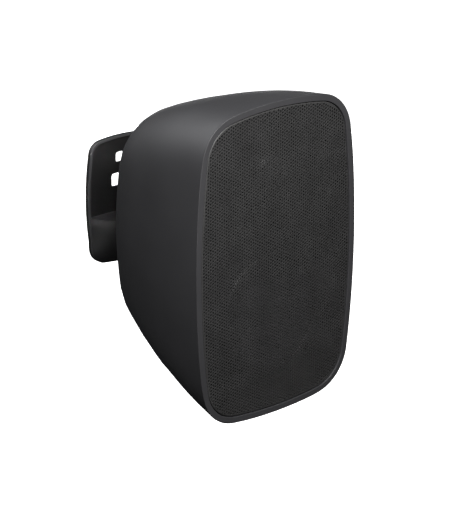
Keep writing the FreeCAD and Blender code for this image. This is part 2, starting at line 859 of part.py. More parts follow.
basket.Tip = basket_windows
screw_holes = new_sketch(basket, "XY_Plane", -d.woofer_flange - 1)
for sx in (-1, 1):
    for sz in (-1, 1):
        draw_circle(screw_holes, sx * woofer_diagonal, sz * woofer_diagonal,
                    d.driver_screw_radius + d.hole_clearance)
pocket(basket, screw_holes, d.woofer_flange + 2)

magnet_front = floor_low - d.top_plate
magnet_back = magnet_front - d.magnet_thickness
coil_inner = d.pole_radius + d.coil_gap
coil_outer = coil_inner + d.coil_wall
woofer_part("woofer_top_plate", ring(coil_outer + d.coil_gap, d.plate_radius, magnet_front, floor_low))
woofer_part("woofer_magnet", ring(coil_outer + 6, d.magnet_radius, magnet_back, magnet_front))
woofer_part("woofer_yoke", [
    (d.pole_vent, floor_low), (d.pole_radius, floor_low), (d.pole_radius, magnet_back),
    (d.plate_radius, magnet_back), (d.plate_radius, magnet_back - d.back_plate),
    (d.pole_vent, magnet_back - d.back_plate),
])
neck = -d.cone_neck_level
woofer_part("woofer_voice_coil", ring(coil_inner, coil_outer, floor_low - 12, neck + 1))
cone_lip = cone_radius - 3
woofer_part("woofer_cone", [
    (coil_outer, neck - d.cone_skin * 1.4), (coil_outer + 1.4, neck - d.cone_skin * 1.4),
    (cone_lip + 0.6, -d.cone_skin), (cone_radius, -d.cone_skin), (cone_radius, 0), (cone_lip, 0),
    (coil_outer, neck),
])
cone_slope = d.cone_neck_level / (cone_lip - coil_outer)


def on_cone(radius):
    return neck + (radius - coil_outer) * cone_slope


cap_top = on_cone(d.cap_radius) + d.cap_height
cap_rim = d.cap_radius - d.cone_skin
woofer_part("woofer_dust_cap", [
    (0, cap_top), (d.cap_radius, on_cone(d.cap_radius), "cw", "across", 0),
    (cap_rim, on_cone(cap_rim)), (0, cap_top - d.cone_skin, "ccw", "across", 0),
])
woofer_part("woofer_surround", [
    (roll_middle - d.roll_radius - 1.7, 0), (roll_middle - d.roll_radius + d.roll_skin, 0),
    (roll_middle + d.roll_radius - d.roll_skin, 0, "cw", "level", 0), (lip_end, 0), (lip_end, d.roll_skin),
    (roll_middle + d.roll_radius, d.roll_skin),
    (roll_middle - d.roll_radius, d.roll_skin, "ccw", "level", d.roll_skin),
    (roll_middle - d.roll_radius - 1.7, d.roll_skin),
])
waves = 5
spider_outer = d.basket_neck - 0.5
wave_start = coil_outer + 1.2
wave_step = (d.basket_neck - 6.5 - wave_start) / waves
under = [(coil_outer, ledge_low), (wave_start, ledge_low)]
over = [(coil_outer, ledge_low + d.spider_skin), (wave_start, ledge_low + d.spider_skin)]
for number in range(waves):
    middle = wave_start + wave_step * (number + 0.5)
    rise = d.spider_crest if number % 2 == 0 else d.spider_trough
    under.append((middle, ledge_low + rise))
    over.append((middle, ledge_low + rise + d.spider_skin))
under.append((spider_outer, ledge_low))
over.append((spider_outer, ledge_low + d.spider_skin))
woofer_part("woofer_spider", under + over[::-1])
driver_screw = screw_pattern("driver_screw_pattern", d.driver_screw_head, d.driver_screw_head_height,
                             d.driver_screw_radius, driver_screw_length)


def four_screws(reach, level):
    """The places of a driver's four screws, on the diagonals of its frame."""
    return [(sx * reach, baffle_front, level + sz * reach) for sx in (-1, 1) for sz in (-1, 1)]


group("woofer_screws", driver_screw, four_screws(woofer_diagonal, woofer_level))


# Tweeter, turned the same way

def tweeter_part(label, corners):
    return turned(label, corners, 0, baffle_front, tweeter_level)


motor_front = -d.tweeter_motor_setback
motor_mid = motor_front - d.tweeter_plate
motor_back = motor_mid - d.tweeter_magnet_thickness
coil_in = d.dome_radius - d.coil_gap
pole_gap = d.dome_radius + d.coil_gap
faceplate = tweeter_part("tweeter_faceplate", [
    (pole_gap + 2.2, -2.2), (pole_gap + 8.5, 0), (d.tweeter_radius, 0),
    (d.tweeter_radius, -d.tweeter_flange), (tweeter_hole_radius - 3, -d.tweeter_flange),
    (tweeter_hole_radius - 3, motor_front),
    (pole_gap + 2.2, motor_front),
])
faceplate_holes = new_sketch(faceplate, "XY_Plane", -d.tweeter_flange - 1)
for sx in (-1, 1):
    for sz in (-1, 1):
        draw_circle(faceplate_holes, sx * tweeter_diagonal, sz * tweeter_diagonal,
                    d.driver_screw_radius + d.hole_clearance)
pocket(faceplate, faceplate_holes, d.tweeter_flange + 2)
tweeter_part("tweeter_top_plate", ring(pole_gap, tweeter_plate_radius, motor_mid, motor_front))
tweeter_part("tweeter_magnet", ring(pole_gap + 4, tweeter_magnet_radius, motor_back, motor_mid))
tweeter_part("tweeter_yoke", [
    (0, motor_front - 0.5), (dome_pole_radius, motor_front - 0.5), (dome_pole_radius, motor_back),
    (tweeter_plate_radius, motor_back), (tweeter_plate_radius, motor_back - d.tweeter_plate),
    (0, motor_back - d.tweeter_plate),
])
dome_edge = motor_front + 0.9
dome_top = dome_edge + d.dome_height
tweeter_part("tweeter_dome", [
    (0, dome_top), (d.dome_radius, dome_edge, "cw", "across", 0), (d.dome_radius - d.dome_skin, dome_edge),
    (0, dome_top - d.dome_skin, "ccw", "across", 0),
])
tweeter_part("tweeter_voice_coil", ring(coil_in, d.dome_radius, motor_mid - 2, dome_edge))
tweeter_part("tweeter_surround", [
    (d.dome_radius, dome_edge - 0.4), (d.dome_radius, dome_edge), (pole_gap + 2.2, motor_front + 0.4),
    (pole_gap + 2.2, motor_front), (pole_gap + 0.6, motor_front),
])
group("tweeter_screws", driver_screw, four_screws(tweeter_diagonal, tweeter_level))


# Terminal cup, its two wire levers, and the crossover board behind it

cup_front = d.wall_gap + d.cup_depth
cup = new_body("terminal_cup")
place(cup, z=terminal_rise)
flange_sketch = new_sketch(cup, offset=d.wall_gap - d.terminal_flange)
draw_plate(flange_sketch, d.terminal_width, d.terminal_height, d.terminal_corner)
for side in (-1, 1):
    draw_circle(flange_sketch, side * terminal_screw_x, 0, d.terminal_screw_radius + d.hole_clearance)
pad(cup, flange_sketch, d.terminal_flange)
cup_sketch = new_sketch(cup, offset=d.wall_gap)
draw_plate(cup_sketch, d.cup_width, d.cup_height, d.cup_corner)
pad(cup, cup_sketch, d.cup_depth)
cup_space = new_sketch(cup, offset=d.wall_gap - d.terminal_flange)
draw_plate(cup_space, d.cup_width - d.cup_wall * 2, d.cup_height - d.cup_wall * 2, as_size(2))
pocket(cup, cup_space, d.cup_depth + d.terminal_flange - d.cup_wall)
standoff_sketch = new_sketch(cup, offset=cup_front)
standoff_x = d.cup_width / 2 - d.standoff_inset
for side in (-1, 1):
    draw_circle(standoff_sketch, side * standoff_x, 0, d.standoff_radius)
pad(cup, standoff_sketch, d.standoff_length)
standoff_holes = new_sketch(cup, offset=cup_front)
for side in (-1, 1):
    draw_circle(standoff_holes, side * standoff_x, 0, d.board_screw_radius)
pocket(cup, standoff_holes, d.standoff_length + 1)
pin_forward = cup_front - d.cup_wall - d.lever_setback
pin_rise = d.cup_height / 2 - d.cup_wall - 3.5
pin_hole = new_sketch(cup, "YZ_Plane", -d.cup_width)
draw_circle(pin_hole, -pin_forward, pin_rise, d.lever_pin_radius)
pocket(cup, pin_hole, d.cup_width * 2)
contact_slots = new_sketch(cup, offset=cup_front - d.cup_wall - 1)
lever_x = d.lever_width / 2 + d.lever_gap
half_contact = d.contact_width / 2
contact_top = d.contact_thickness - d.contact_drop
for side in (-1, 1):
    low_x, high_x = side * lever_x - half_contact, side * lever_x + half_contact
    draw_path(contact_slots, [(low_x, -d.contact_drop), (high_x, -d.contact_drop),
                              (high_x, contact_top), (low_x, contact_top)])
pocket(cup, contact_slots, d.cup_wall + 2)

pin = cylinder("terminal_pin", d.lever_pin_radius, d.cup_width, -d.cup_width / 2, pin_forward,
               terminal_rise + pin_rise, sideways)
nodes["terminal_pin"] = pin


def lever(label, side):
    """A thumb lever on the cross pin: a knuckle, a plate and a raised thumb pad."""
    body = new_body(label)
    place(body, z=terminal_rise)
    knuckle = d.lever_knuckle
    low = pin_rise - d.lever_length
    near_wall = -pin_forward + knuckle
    profile = new_sketch(body, "YZ_Plane", side * lever_x - d.lever_width / 2)
    draw_path(profile, [
        (-pin_forward - 0.4, pin_rise + knuckle), (-pin_forward - 1.6, pin_rise - knuckle),
        (-pin_forward - 1.6, low), (near_wall + 2.5, low), (near_wall + 2.5, low + 4.5),
        (near_wall, low + 6.5), (near_wall, pin_rise + knuckle - 1.5),
        (-pin_forward + 1.2, pin_rise + knuckle),
    ])
    pad(body, profile, d.lever_width)
    bore = new_sketch(body, "YZ_Plane", side * lever_x - d.lever_width)
    draw_circle(bore, -pin_forward, pin_rise, d.lever_pin_radius + d.running_fit)
    pocket(body, bore, d.lever_width * 2)
    return body


lever("terminal_lever_left", -1)
lever("terminal_lever_right", 1)

contact_pattern = block("contact_pattern", d.contact_width, d.cup_wall + d.standoff_length,
                        d.contact_thickness, 0, cup_front + d.standoff_length, -d.contact_drop)
group("terminal_contacts", contact_pattern,
      [(side * lever_x, 0, terminal_rise) for side in (-1, 1)])
terminal_screw = screw_pattern("terminal_screw_pattern", d.terminal_screw_head, d.terminal_screw_head_height,
                               d.terminal_screw_radius, d.terminal_screw_length, backward)
group("terminal_screws", terminal_screw,
      [(side * terminal_screw_x, d.wall_gap - d.terminal_flange, terminal_rise) for side in (-1, 1)])

board_back = cup_front + d.standoff_length
board_front = board_back + d.board_thickness
board_level = terminal_rise + d.board_lift
board = plate("crossover_board", d.board_width, d.board_height, d.board_corner, board_back,
              d.board_thickness, board_level,
              [(side * standoff_x, terminal_rise, d.board_screw_radius + d.body_gap) for side in (-1, 1)])
board_screw = screw_pattern("board_screw_pattern", d.board_screw_head, d.board_screw_head_height,
                            d.board_screw_radius, d.board_screw_length)
group("crossover_screws", board_screw,
      [(side * standoff_x, board_front, terminal_rise) for side in (-1, 1)])
inductor_level = board_level + d.board_height / 2 - d.inductor_radius * 0.62
turned("crossover_inductor", ring(d.inductor_radius * 0.45, d.inductor_radius * 0.6, 0, d.inductor_height),
       0, board_front, inductor_level)
turned("crossover_winding", ring(d.inductor_radius * 0.6, d.inductor_radius, 1, d.inductor_height - 1),
       0, board_front, inductor_level)
nodes["crossover_capacitor"] = cylinder("crossover_capacitor", d.capacitor_radius, d.capacitor_length,
                                        -d.capacitor_length / 2, board_front + d.capacitor_radius,
                                        board_level - d.board_height / 2 + d.capacitor_radius + 1, sideways)
nodes["crossover_resistor"] = block("crossover_resistor", d.resistor_length, d.resistor_side,
                                    d.resistor_side, 0, board_front + d.resistor_side, board_level - 8.6)


# Leads from the crossover board to the tags of the two drivers

def point(x, forward, z):
    return V(as_size(x).value, -as_size(forward).value, as_size(z).value)


def lead(label, corners, radius, bend):
    """A twin lead along straight runs, with an arc of one radius at each corner."""
    edges = []
    start = corners[0]
    for before, corner, after in zip(corners, corners[1:], corners[2:]):
        into = (corner - before).normalize()
        out = (after - corner).normalize()
        half_turn = into.getAngle(out) / 2
        trim = bend * math.tan(half_turn)
        first, last = corner - into * trim, corner + out * trim
        inward = (out - into).normalize()
        middle = corner + inward * (bend / math.cos(half_turn) - bend)
        edges += [Part.LineSegment(start, first).toShape(), Part.Arc(first, middle, last).toShape()]
        start = last
    edges.append(Part.LineSegment(start, corners[-1]).toShape())
    ring_edge = Part.makeCircle(radius, corners[0], corners[1] - corners[0])
    feature = doc.addObject("Part::Feature", label)
    feature.Label = label
    feature.Shape = Part.Wire(edges).makePipeShell([Part.Wire([ring_edge])], True, True)
    nodes[label] = feature


lead_x = d.board_width / 2 - d.lead_side
lead_level = board_level - d.board_height / 2 + d.lead_rise
woofer_tag_level = woofer_level + d.basket_neck + 1.8
woofer_tag_forward = baffle_front - d.basket_floor + 5
nodes["woofer_tag_strip"] = block("woofer_tag_strip", d.woofer_tag_width, d.woofer_tag_depth,
                                  d.woofer_tag_height, 0, woofer_tag_forward + d.woofer_tag_depth / 2,
                                  woofer_tag_level)
tweeter_tag_level = tweeter_level - tweeter_magnet_radius
tweeter_tag_forward = baffle_front - 12
tweeter_tag_low = tweeter_tag_level - d.tweeter_tag_height
nodes["tweeter_tag_strip"] = block("tweeter_tag_strip", d.tweeter_tag_width, d.tweeter_tag_depth,
                                   d.tweeter_tag_height, 0, tweeter_tag_forward + d.tweeter_tag_depth / 2,
                                   tweeter_tag_low)
woofer_tag_high = woofer_tag_level + d.woofer_tag_height
woofer_lead_end = board_front + d.woofer_lead_run
tweeter_lead_end = board_front + d.tweeter_lead_run
lead("woofer_lead", [
    point(lead_x, board_front, lead_level), point(lead_x, woofer_lead_end, lead_level),
    point(0, woofer_tag_forward, woofer_tag_high + d.woofer_lead_fall),
    point(0, woofer_tag_forward, woofer_tag_high),
], d.lead_radius.value, d.lead_bend.value)
lead("tweeter_lead", [
    point(-lead_x, board_front, lead_level), point(-lead_x, tweeter_lead_end, lead_level),
    point(0, tweeter_tag_forward, tweeter_tag_low - d.tweeter_lead_climb),
    point(0, tweeter_tag_forward, tweeter_tag_low),
], d.lead_radius.value, d.lead_bend.value)


# Hinge plate on the cabinet's back, its backing plate, screws and damping pad

tilt_level = as_size(0)
ear_inner = d.barrel_length / 2 + d.tilt_washer + d.body_gap
hinge = plate("hinge_plate", d.hinge_width, d.hinge_height, d.hinge_corner, d.wall_gap - d.hinge_plate,
              d.hinge_plate, 0,
              [(x, z, d.hinge_screw_radius + d.hole_clearance) for x, z in hinge_holes])
ear_sketch = new_sketch(hinge, "YZ_Plane", ear_inner)
ear_root = -(d.wall_gap - d.hinge_plate)
draw_path(ear_sketch, [
    (ear_root, -d.ear_radius * 1.6), (ear_root, d.ear_radius * 1.6), (-d.tilt_forward, d.ear_radius),
    (-d.tilt_forward, -d.ear_radius, "cw", "across", -d.tilt_forward),
])
ear_pad = pad(hinge, ear_sketch, d.ear_thickness)
mirror(hinge, [ear_pad])
ear_bore = new_sketch(hinge, "YZ_Plane", -d.hinge_width)
draw_circle(ear_bore, -d.tilt_forward, 0, d.tilt_bolt_radius)
pocket(hinge, ear_bore, d.hinge_width * 2)

plate("hinge_backing_plate", d.hinge_width, d.hinge_height, d.backing_corner, back_inside,
      d.backing_plate, 0, [(x, z, d.hinge_screw_radius) for x, z in hinge_holes])
hinge_screw = screw_pattern("hinge_screw_pattern", d.hinge_screw_head, d.hinge_screw_head_height,
                            d.hinge_screw_radius, hinge_screw_length, backward)
group("hinge_screws", hinge_screw, [(x, d.wall_gap - d.hinge_plate, z) for x, z in hinge_holes])

pad_back = back_inside + d.backing_plate
pad_top = hinge_screw_z - d.hinge_screw_radius - 2.5
pad_height = pad_top + d.hinge_height / 2 + 8
plate("damping_pad", d.hinge_width + 14, pad_height, d.hinge_corner, pad_back, d.pad_thickness,
      pad_top - pad_height / 2, [(x, z, d.hinge_screw_radius + 2) for x, z in hinge_holes if z.value < 0])


# Tilt bolt, washers and nut along X

ear_outer = ear_inner + d.ear_thickness
bolt_length = ear_outer * 2 + d.tilt_bolt_reach


def hexagon(sketch, across):
    """A nut outline by its width across the flats."""
    half = as_size(across) / 2
    point = half * (2 / math.sqrt(3))
    draw_path(sketch, [(point, 0), (point * 0.5, half), (point * -0.5, half), (-point, 0),
                       (point * -0.5, -half), (point * 0.5, -half)])


def hex_bolt(label, across, head, radius, length, turn, x, forward, z):
    """A hexagon-head bolt: the head below its own zero plane, the shank above."""
    body = new_body(label)
    place(body, x, forward, z, turn)
    head_sketch = new_sketch(body, "XY_Plane", -as_size(head))
    hexagon(head_sketch, across)
    pad(body, head_sketch, head)
    shank = new_sketch(body, "XY_Plane")
    draw_circle(shank, 0, 0, radius)
    pad(body, shank, length)
    return body


def hex_nut(label, across, height, bore, turn, x, forward, z):
    body = new_body(label)
    place(body, x, forward, z, turn)
    sketch = new_sketch(body, "XY_Plane")
    hexagon(sketch, across)
    draw_circle(sketch, 0, 0, bore)
    pad(body, sketch, height)
    return body


hex_bolt("tilt_bolt", d.tilt_bolt_across, d.tilt_bolt_head, d.tilt_bolt_radius, bolt_length, sideways,
         -ear_outer, d.tilt_forward, tilt_level)
hex_nut("tilt_nut", d.tilt_bolt_across, d.tilt_nut_height, d.tilt_bolt_radius, sideways, ear_outer,
        d.tilt_forward, tilt_level)
washer_ring = ring(d.tilt_bolt_radius + d.hole_clearance, d.barrel_radius, 0, d.tilt_washer)
washer = turned("tilt_washer_pattern", washer_ring, axis=sideways)
nodes.pop("tilt_washer_pattern")
half_barrel = d.barrel_length / 2
group("tilt_washers", washer, [(half_barrel, d.tilt_forward, tilt_level),
                               (-half_barrel - d.tilt_washer, d.tilt_forward, tilt_level)])


# Swivel arm: a foot on the pan bolt, a webbed arm and the tilt barrel

foot_low = shelf_level + d.pan_washer + d.body_gap
foot_high = foot_low + d.foot_height
arm = new_body("swivel_arm")
foot_sketch = new_sketch(arm, "XY_Plane", foot_low)
draw_circle(foot_sketch, 0, -d.pan_forward, d.foot_radius)
pad(arm, foot_sketch, d.foot_height)
arm_sketch = new_sketch(arm, "XY_Plane", foot_low)
half_arm = d.arm_width / 2
draw_path(arm_sketch, [(half_arm + 3, -d.pan_forward), (half_arm, -d.tilt_forward),
                       (-half_arm, -d.tilt_forward), (-half_arm - 3, -d.pan_forward)])
pad(arm, arm_sketch, d.foot_height)
barrel_sketch = new_sketch(arm, "YZ_Plane", -half_barrel)
draw_circle(barrel_sketch, -d.tilt_forward, tilt_level, d.barrel_radius)
pad(arm, barrel_sketch, d.barrel_length)
web_sketch = new_sketch(arm, "YZ_Plane", -d.web_thickness / 2)
web_near = -(d.pan_forward + d.foot_radius - 1)
draw_path(web_sketch, [(web_near, foot_high - 1), (web_near, foot_high),
                       (-d.tilt_forward, d.barrel_radius - 1), (-d.tilt_forward, foot_high - 1)])
pad(arm, web_sketch, d.web_thickness)
arm_bore = new_sketch(arm, "YZ_Plane", -d.barrel_length)
draw_circle(arm_bore, -d.tilt_forward, tilt_level, d.tilt_bolt_radius + d.running_fit)
pocket(arm, arm_bore, d.barrel_length * 2)
foot_bore = new_sketch(arm, "XY_Plane", foot_low - 1)
draw_circle(foot_bore, 0, -d.pan_forward, d.pan_bolt_radius + d.running_fit)
pocket(arm, foot_bore, d.foot_height + 2)


# Pan bolt up through the bracket's shelf, its washers and nut

washer_top = foot_high + d.body_gap
shelf_underside = shelf_level - d.shelf_thickness
pan_bolt_length = washer_top + d.pan_washer + d.pan_bolt_reach - shelf_underside
hex_bolt("pan_bolt", d.pan_bolt_across, d.pan_bolt_head, d.pan_bolt_radius, pan_bolt_length, upright,
         0, d.pan_forward, shelf_underside)
pan_washer_bore = d.pan_bolt_radius + d.hole_clearance
turned("pan_washer", ring(pan_washer_bore, d.foot_radius, 0, d.pan_washer), 0, d.pan_forward,
       shelf_level, upright)
turned("pan_top_washer", ring(pan_washer_bore, d.pan_top_washer_radius, 0, d.pan_washer), 0,
       d.pan_forward, washer_top, upright)
hex_nut("pan_nut", d.pan_bolt_across, d.pan_nut_height, d.pan_bolt_radius, upright, 0,
        d.pan_forward, washer_top + d.pan_washer)


# Wall bracket: a rimmed plate with two windows, and a hollow chin under the shelf

bracket_low = d.bracket_height / 2


def bracket_form(inset):
    return (d.bracket_width / 2 - inset, d.bracket_height / 2 - inset, d.bracket_height / 2 - inset,
            d.bracket_top_corner - inset, d.bracket_bottom_corner - inset, d.bracket_side_bow - inset,
            d.bracket_end_bow - inset, d.bracket_end_bow - inset, as_size(0))


dish_sketch = free_sketch("dish_sketch", facing)
draw_barrel(dish_sketch, bracket_form(as_size(0)))
dish_block = extrusion("dish_block", dish_sketch, d.bracket_rim_depth)
recess_sketch = free_sketch("recess_sketch", facing)
place(recess_sketch, 0, d.bracket_plate, 0)
draw_barrel(recess_sketch, bracket_form(d.bracket_rim))
recess = extrusion("recess", recess_sketch, d.bracket_rim_depth)
dish = boolean("Cut", "dish", dish_block, recess)


def chin_section(name, level, half, depth, side, back):
    """One level slice of the chin: straight sides and a bowed front."""
    centre = (half * half + side * side - depth * depth) / ((depth - side) * 2)
    sketch = free_sketch(name, upright)
    place(sketch, 0, 0, level)
    draw_path(sketch, [(-half, back), (-half, -side), (half, -side, "ccw", "level", centre), (half, back)])
    return sketch


def chin_loft(name, top_level, wall, side, back):
    """Slices from the shelf down to the bracket's rounded foot."""
    height = bracket_low - d.shelf_drop
    corner = d.bracket_bottom_corner
    half = d.bracket_width / 2 - d.chin_inset - wall
    levels = [(top_level, half)]
    for share in (0.3, 0.6):
        levels.append((shelf_level - height * share, half))
    for sine in (0.35, 0.65, 0.87, 0.965):
        drop = corner * sine
        narrow = corner * (1 - math.sqrt(1 - sine * sine))
        levels.append((-(bracket_low - corner) - drop + wall, half - narrow))
    sections = []
    for number, (level, width) in enumerate(levels):
        share = (shelf_level - level - wall) / height if number > 2 else (shelf_level - level) / height
        bulge = (1 - share * share).root()
        depth = d.bracket_rim_depth + (d.chin_depth - d.bracket_rim_depth) * bulge - wall
        sections.append(chin_section(f"{name}{number}", level, width, depth, side, back))
    return loft(name, sections)


chin = chin_loft("chin", shelf_level, as_size(0), d.bracket_rim_depth, as_size(0))
chin_hollow = chin_loft("chin_hollow", shelf_level - d.shelf_thickness, d.bracket_wall,
                        d.bracket_rim_depth - 2, as_size(1))
windows = []
for name, width, height, rise in (
    ("screw_window", d.screw_window_width, d.screw_window_height, d.screw_window_rise),
    ("cable_window", d.cable_window_width, d.cable_window_height, d.cable_window_rise),
):
    window_sketch = free_sketch(f"{name}_sketch", facing)
    place(window_sketch, 0, -1, rise)
    draw_plate(window_sketch, width, height, d.window_corner)
    windows.append(extrusion(name, window_sketch, d.bracket_plate + 2))
shelf_hole = cylinder("shelf_hole", pan_washer_bore, d.shelf_thickness * 3, 0, d.pan_forward,
                      shelf_level - d.shelf_thickness * 2, upright)
bracket_solid = fuse_all("bracket_solid", [dish, chin])
bracket_cuts = fuse_all("bracket_cuts", windows + [shelf_hole, chin_hollow])
nodes["wall_bracket"] = boolean("Cut", "wall_bracket", bracket_solid, bracket_cuts)


# Checks, then one STEP file for each node

doc.recompute()
for thing in doc.Objects:
    if "Invalid" in thing.State or "Error" in thing.State:
        raise RuntimeError(f"{thing.Label}: {thing.State}")
os.makedirs("parts", exist_ok=True)
for label, thing in nodes.items():
    shape = thing.Shape
    if shape.isNull() or not shape.isValid() or not shape.Solids:
        raise RuntimeError(f"{label}: no valid solid")
    shape.exportStep(f"parts/{label}.step")
    print(f"{label}: {len(shape.Solids)} solids, {shape.Volume / 1000:.2f} cm3")
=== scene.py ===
import math

import bmesh
import bpy
from bpy.props import FloatProperty, FloatVectorProperty, PointerProperty
from bpy.types import Operator, Panel, PropertyGroup
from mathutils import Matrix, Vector
from mathutils.geometry import delaunay_2d_cdt
from mathutils.kdtree import KDTree
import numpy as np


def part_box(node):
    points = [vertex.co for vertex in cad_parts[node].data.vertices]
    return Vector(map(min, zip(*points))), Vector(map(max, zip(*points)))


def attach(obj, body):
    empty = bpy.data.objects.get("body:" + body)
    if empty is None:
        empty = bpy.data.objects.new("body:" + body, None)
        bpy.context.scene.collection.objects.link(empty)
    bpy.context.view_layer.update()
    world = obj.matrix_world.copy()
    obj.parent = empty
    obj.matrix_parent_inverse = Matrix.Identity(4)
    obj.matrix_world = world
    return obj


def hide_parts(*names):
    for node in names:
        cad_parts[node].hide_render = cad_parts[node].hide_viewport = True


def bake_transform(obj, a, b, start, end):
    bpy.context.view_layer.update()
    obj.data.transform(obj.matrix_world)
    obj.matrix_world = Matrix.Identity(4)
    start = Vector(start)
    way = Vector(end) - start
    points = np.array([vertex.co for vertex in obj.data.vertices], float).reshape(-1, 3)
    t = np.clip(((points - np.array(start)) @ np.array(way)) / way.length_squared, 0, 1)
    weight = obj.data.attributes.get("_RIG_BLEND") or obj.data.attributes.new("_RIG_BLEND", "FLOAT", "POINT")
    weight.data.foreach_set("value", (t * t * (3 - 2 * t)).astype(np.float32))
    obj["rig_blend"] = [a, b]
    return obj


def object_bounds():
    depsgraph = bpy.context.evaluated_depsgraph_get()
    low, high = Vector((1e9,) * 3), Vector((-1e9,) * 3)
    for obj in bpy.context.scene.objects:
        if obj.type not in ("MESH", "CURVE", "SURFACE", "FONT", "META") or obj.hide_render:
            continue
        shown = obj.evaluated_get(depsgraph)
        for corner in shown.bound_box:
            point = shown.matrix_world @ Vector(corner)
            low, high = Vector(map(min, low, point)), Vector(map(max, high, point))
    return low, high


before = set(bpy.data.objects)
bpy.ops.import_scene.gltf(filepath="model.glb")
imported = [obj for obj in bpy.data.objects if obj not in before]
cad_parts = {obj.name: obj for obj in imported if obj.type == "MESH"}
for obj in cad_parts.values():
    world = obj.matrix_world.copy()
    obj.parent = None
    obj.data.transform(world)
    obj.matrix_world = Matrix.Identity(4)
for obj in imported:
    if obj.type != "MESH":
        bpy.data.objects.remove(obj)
CAD_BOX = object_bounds()

bl_info = {
    "name": "Wall Loudspeaker",
    "version": (1, 0, 0),
    "blender": (4, 5, 0),
    "location": "View3D > Sidebar > Loudspeaker",
    "description": "Finishes a wall loudspeaker and its swivel bracket around the packed frame",
    "category": "Object",
}

MM = 0.001
FORWARD = (0.0, -1.0, 0.0)
BACKWARD = (0.0, 1.0, 0.0)
RIGHT = (1.0, 0.0, 0.0)
UP = (0.0, 0.0, 1.0)


# Sizes and colours that the panel offers

def linear(hex_colour):
    """An sRGB hex colour as linear red, green and blue."""
    parts = [int(hex_colour[i:i + 2], 16) / 255 for i in (1, 3, 5)]
    return tuple(p / 12.92 if p <= 0.04045 else ((p + 0.055) / 1.055) ** 2.4 for p in parts)


def colour_property(name, hex_colour, description):
    return FloatVectorProperty(name=name, description=description, subtype="COLOR", size=3, min=0.0, max=1.0,
                               default=linear(hex_colour))


def length_property(name, millimetres, description):
    return FloatProperty(name=name, description=description, default=millimetres * MM, min=0.0,
                         unit="LENGTH", precision=5)


class LoudspeakerSizes(PropertyGroup):
    """Sizes of the pieces that are made here; the rest comes from the frame."""

    hole_pitch: length_property("Hole pitch", 3.0, "Distance between neighbouring holes of the grille")
    hole_width: length_property("Hole width", 2.05, "Width of a grille hole across its flats")
    sheet: length_property("Sheet", 0.9, "Thickness of the grille's steel sheet")
    pan_bend: length_property("Pan bend", 1.0, "Outer bend radius of the grille's folded edge")
    blank_edge: length_property("Blank edge", 0.3, "Unpierced margin inside the grille's bend")
    driver_head: length_property("Driver screw head", 3.0, "Head radius of the driver screws")
    driver_head_height: length_property("Driver screw head height", 2.0, "Head height of the driver screws")
    driver_shank: length_property("Driver screw shank", 1.6, "Shank radius of the driver screws")
    hinge_head: length_property("Hinge screw head", 3.8, "Head radius of the hinge screws")
    hinge_head_height: length_property("Hinge screw head height", 2.6, "Head height of the hinge screws")
    hinge_shank: length_property("Hinge screw shank", 2.0, "Shank radius of the hinge screws")
    terminal_head: length_property("Terminal screw head", 2.0, "Head radius of the terminal screws")
    terminal_head_height: length_property("Terminal screw head height", 1.5, "Head height of those screws")
    terminal_shank: length_property("Terminal screw shank", 1.1, "Shank radius of the terminal screws")
    board_head: length_property("Board screw head", 2.8, "Head radius of the crossover screws")
    board_head_height: length_property("Board screw head height", 1.8, "Head height of the crossover screws")
    board_shank: length_property("Board screw shank", 1.2, "Shank radius of the crossover screws")
    baffle_head: length_property("Baffle screw head", 4.5, "Head radius of the baffle screws")
    baffle_head_height: length_property("Baffle screw head height", 3.0, "Head height of the baffle screws")
    baffle_shank: length_property("Baffle screw shank", 2.0, "Shank radius of the baffle screws")
    corner_screw: length_property("Corner screw", 61.5, "Distance of corner baffle screws from the middle")
    pan_head: length_property("Pan bolt head", 5.3, "Head height of the pan bolt")
    pan_shank: length_property("Pan bolt shank", 4.0, "Shank radius of the pan bolt")
    tilt_head: length_property("Tilt bolt head", 4.0, "Head height of the tilt bolt")
    tilt_shank: length_property("Tilt bolt shank", 3.0, "Shank radius of the tilt bolt")
    rim_round: length_property("Rim round", 0.8, "How far the edges of the cabinet's front rim are rounded")
    skin_step: length_property("Skin step", 6.0, "Distance between cuts that divide the cabinet's outer skin")
    skin_reach: length_property("Skin reach", 26.0, "How far the skin's flats and rolls run into each other")
    edge: length_property("Edge", 0.5, "How far the edges of castings and mouldings are eased")
    bracket_edge: length_property("Bracket edge", 2.1, "How far the bracket's rim is rounded on its outside")
    floor_drop: length_property("Floor drop", 420.0, "How far the floor lies below the loudspeaker")
    floor_span: length_property("Floor span", 30000.0, "Side of the floor")


class LoudspeakerColours(PropertyGroup):
    """Base colours of the finishes."""

    cabinet: colour_property("Cabinet", "#1d1d1f", "Moulded cabinet")
    bracket: colour_property("Bracket", "#1a1a1b", "Moulded wall bracket")
    grille: colour_property("Grille", "#191919", "Powder coat of the grille")
    baffle: colour_property("Baffle", "#171718", "Baffle behind the grille")
    lever_red: colour_property("Red lever", "#a3161a", "Positive wire lever")
    floor: colour_property("Floor", "#f8f8f8", "Studio floor")


def sizes():
    return bpy.context.scene.loudspeaker_sizes


def colours():
    return bpy.context.scene.loudspeaker_colours


# Materials

# How much of the fine grain joins the clouds in the colour, and the reach of both noises that is used
FINE_SHARE = 0.35
TINT_RANGE = (0.35, 1.0)
CLOUD_RANGE = (0.3, 0.7)
# A wave texture of scale 1 repeats its bands at this distance
BAND_PERIOD = 0.314


def add_node(tree, kind, settings=None, links=None):
    """Add one shader node, set its sockets or properties, and feed sockets from other nodes' outputs."""
    made = tree.nodes.new(kind)
    for name, value in (settings or {}).items():
        if isinstance(name, int) or name in made.inputs:
            made.inputs[name].default_value = value
        else:
            setattr(made, name, value)
    for name, source in (links or {}).items():
        tree.links.new(source, made.inputs[name])
    return made


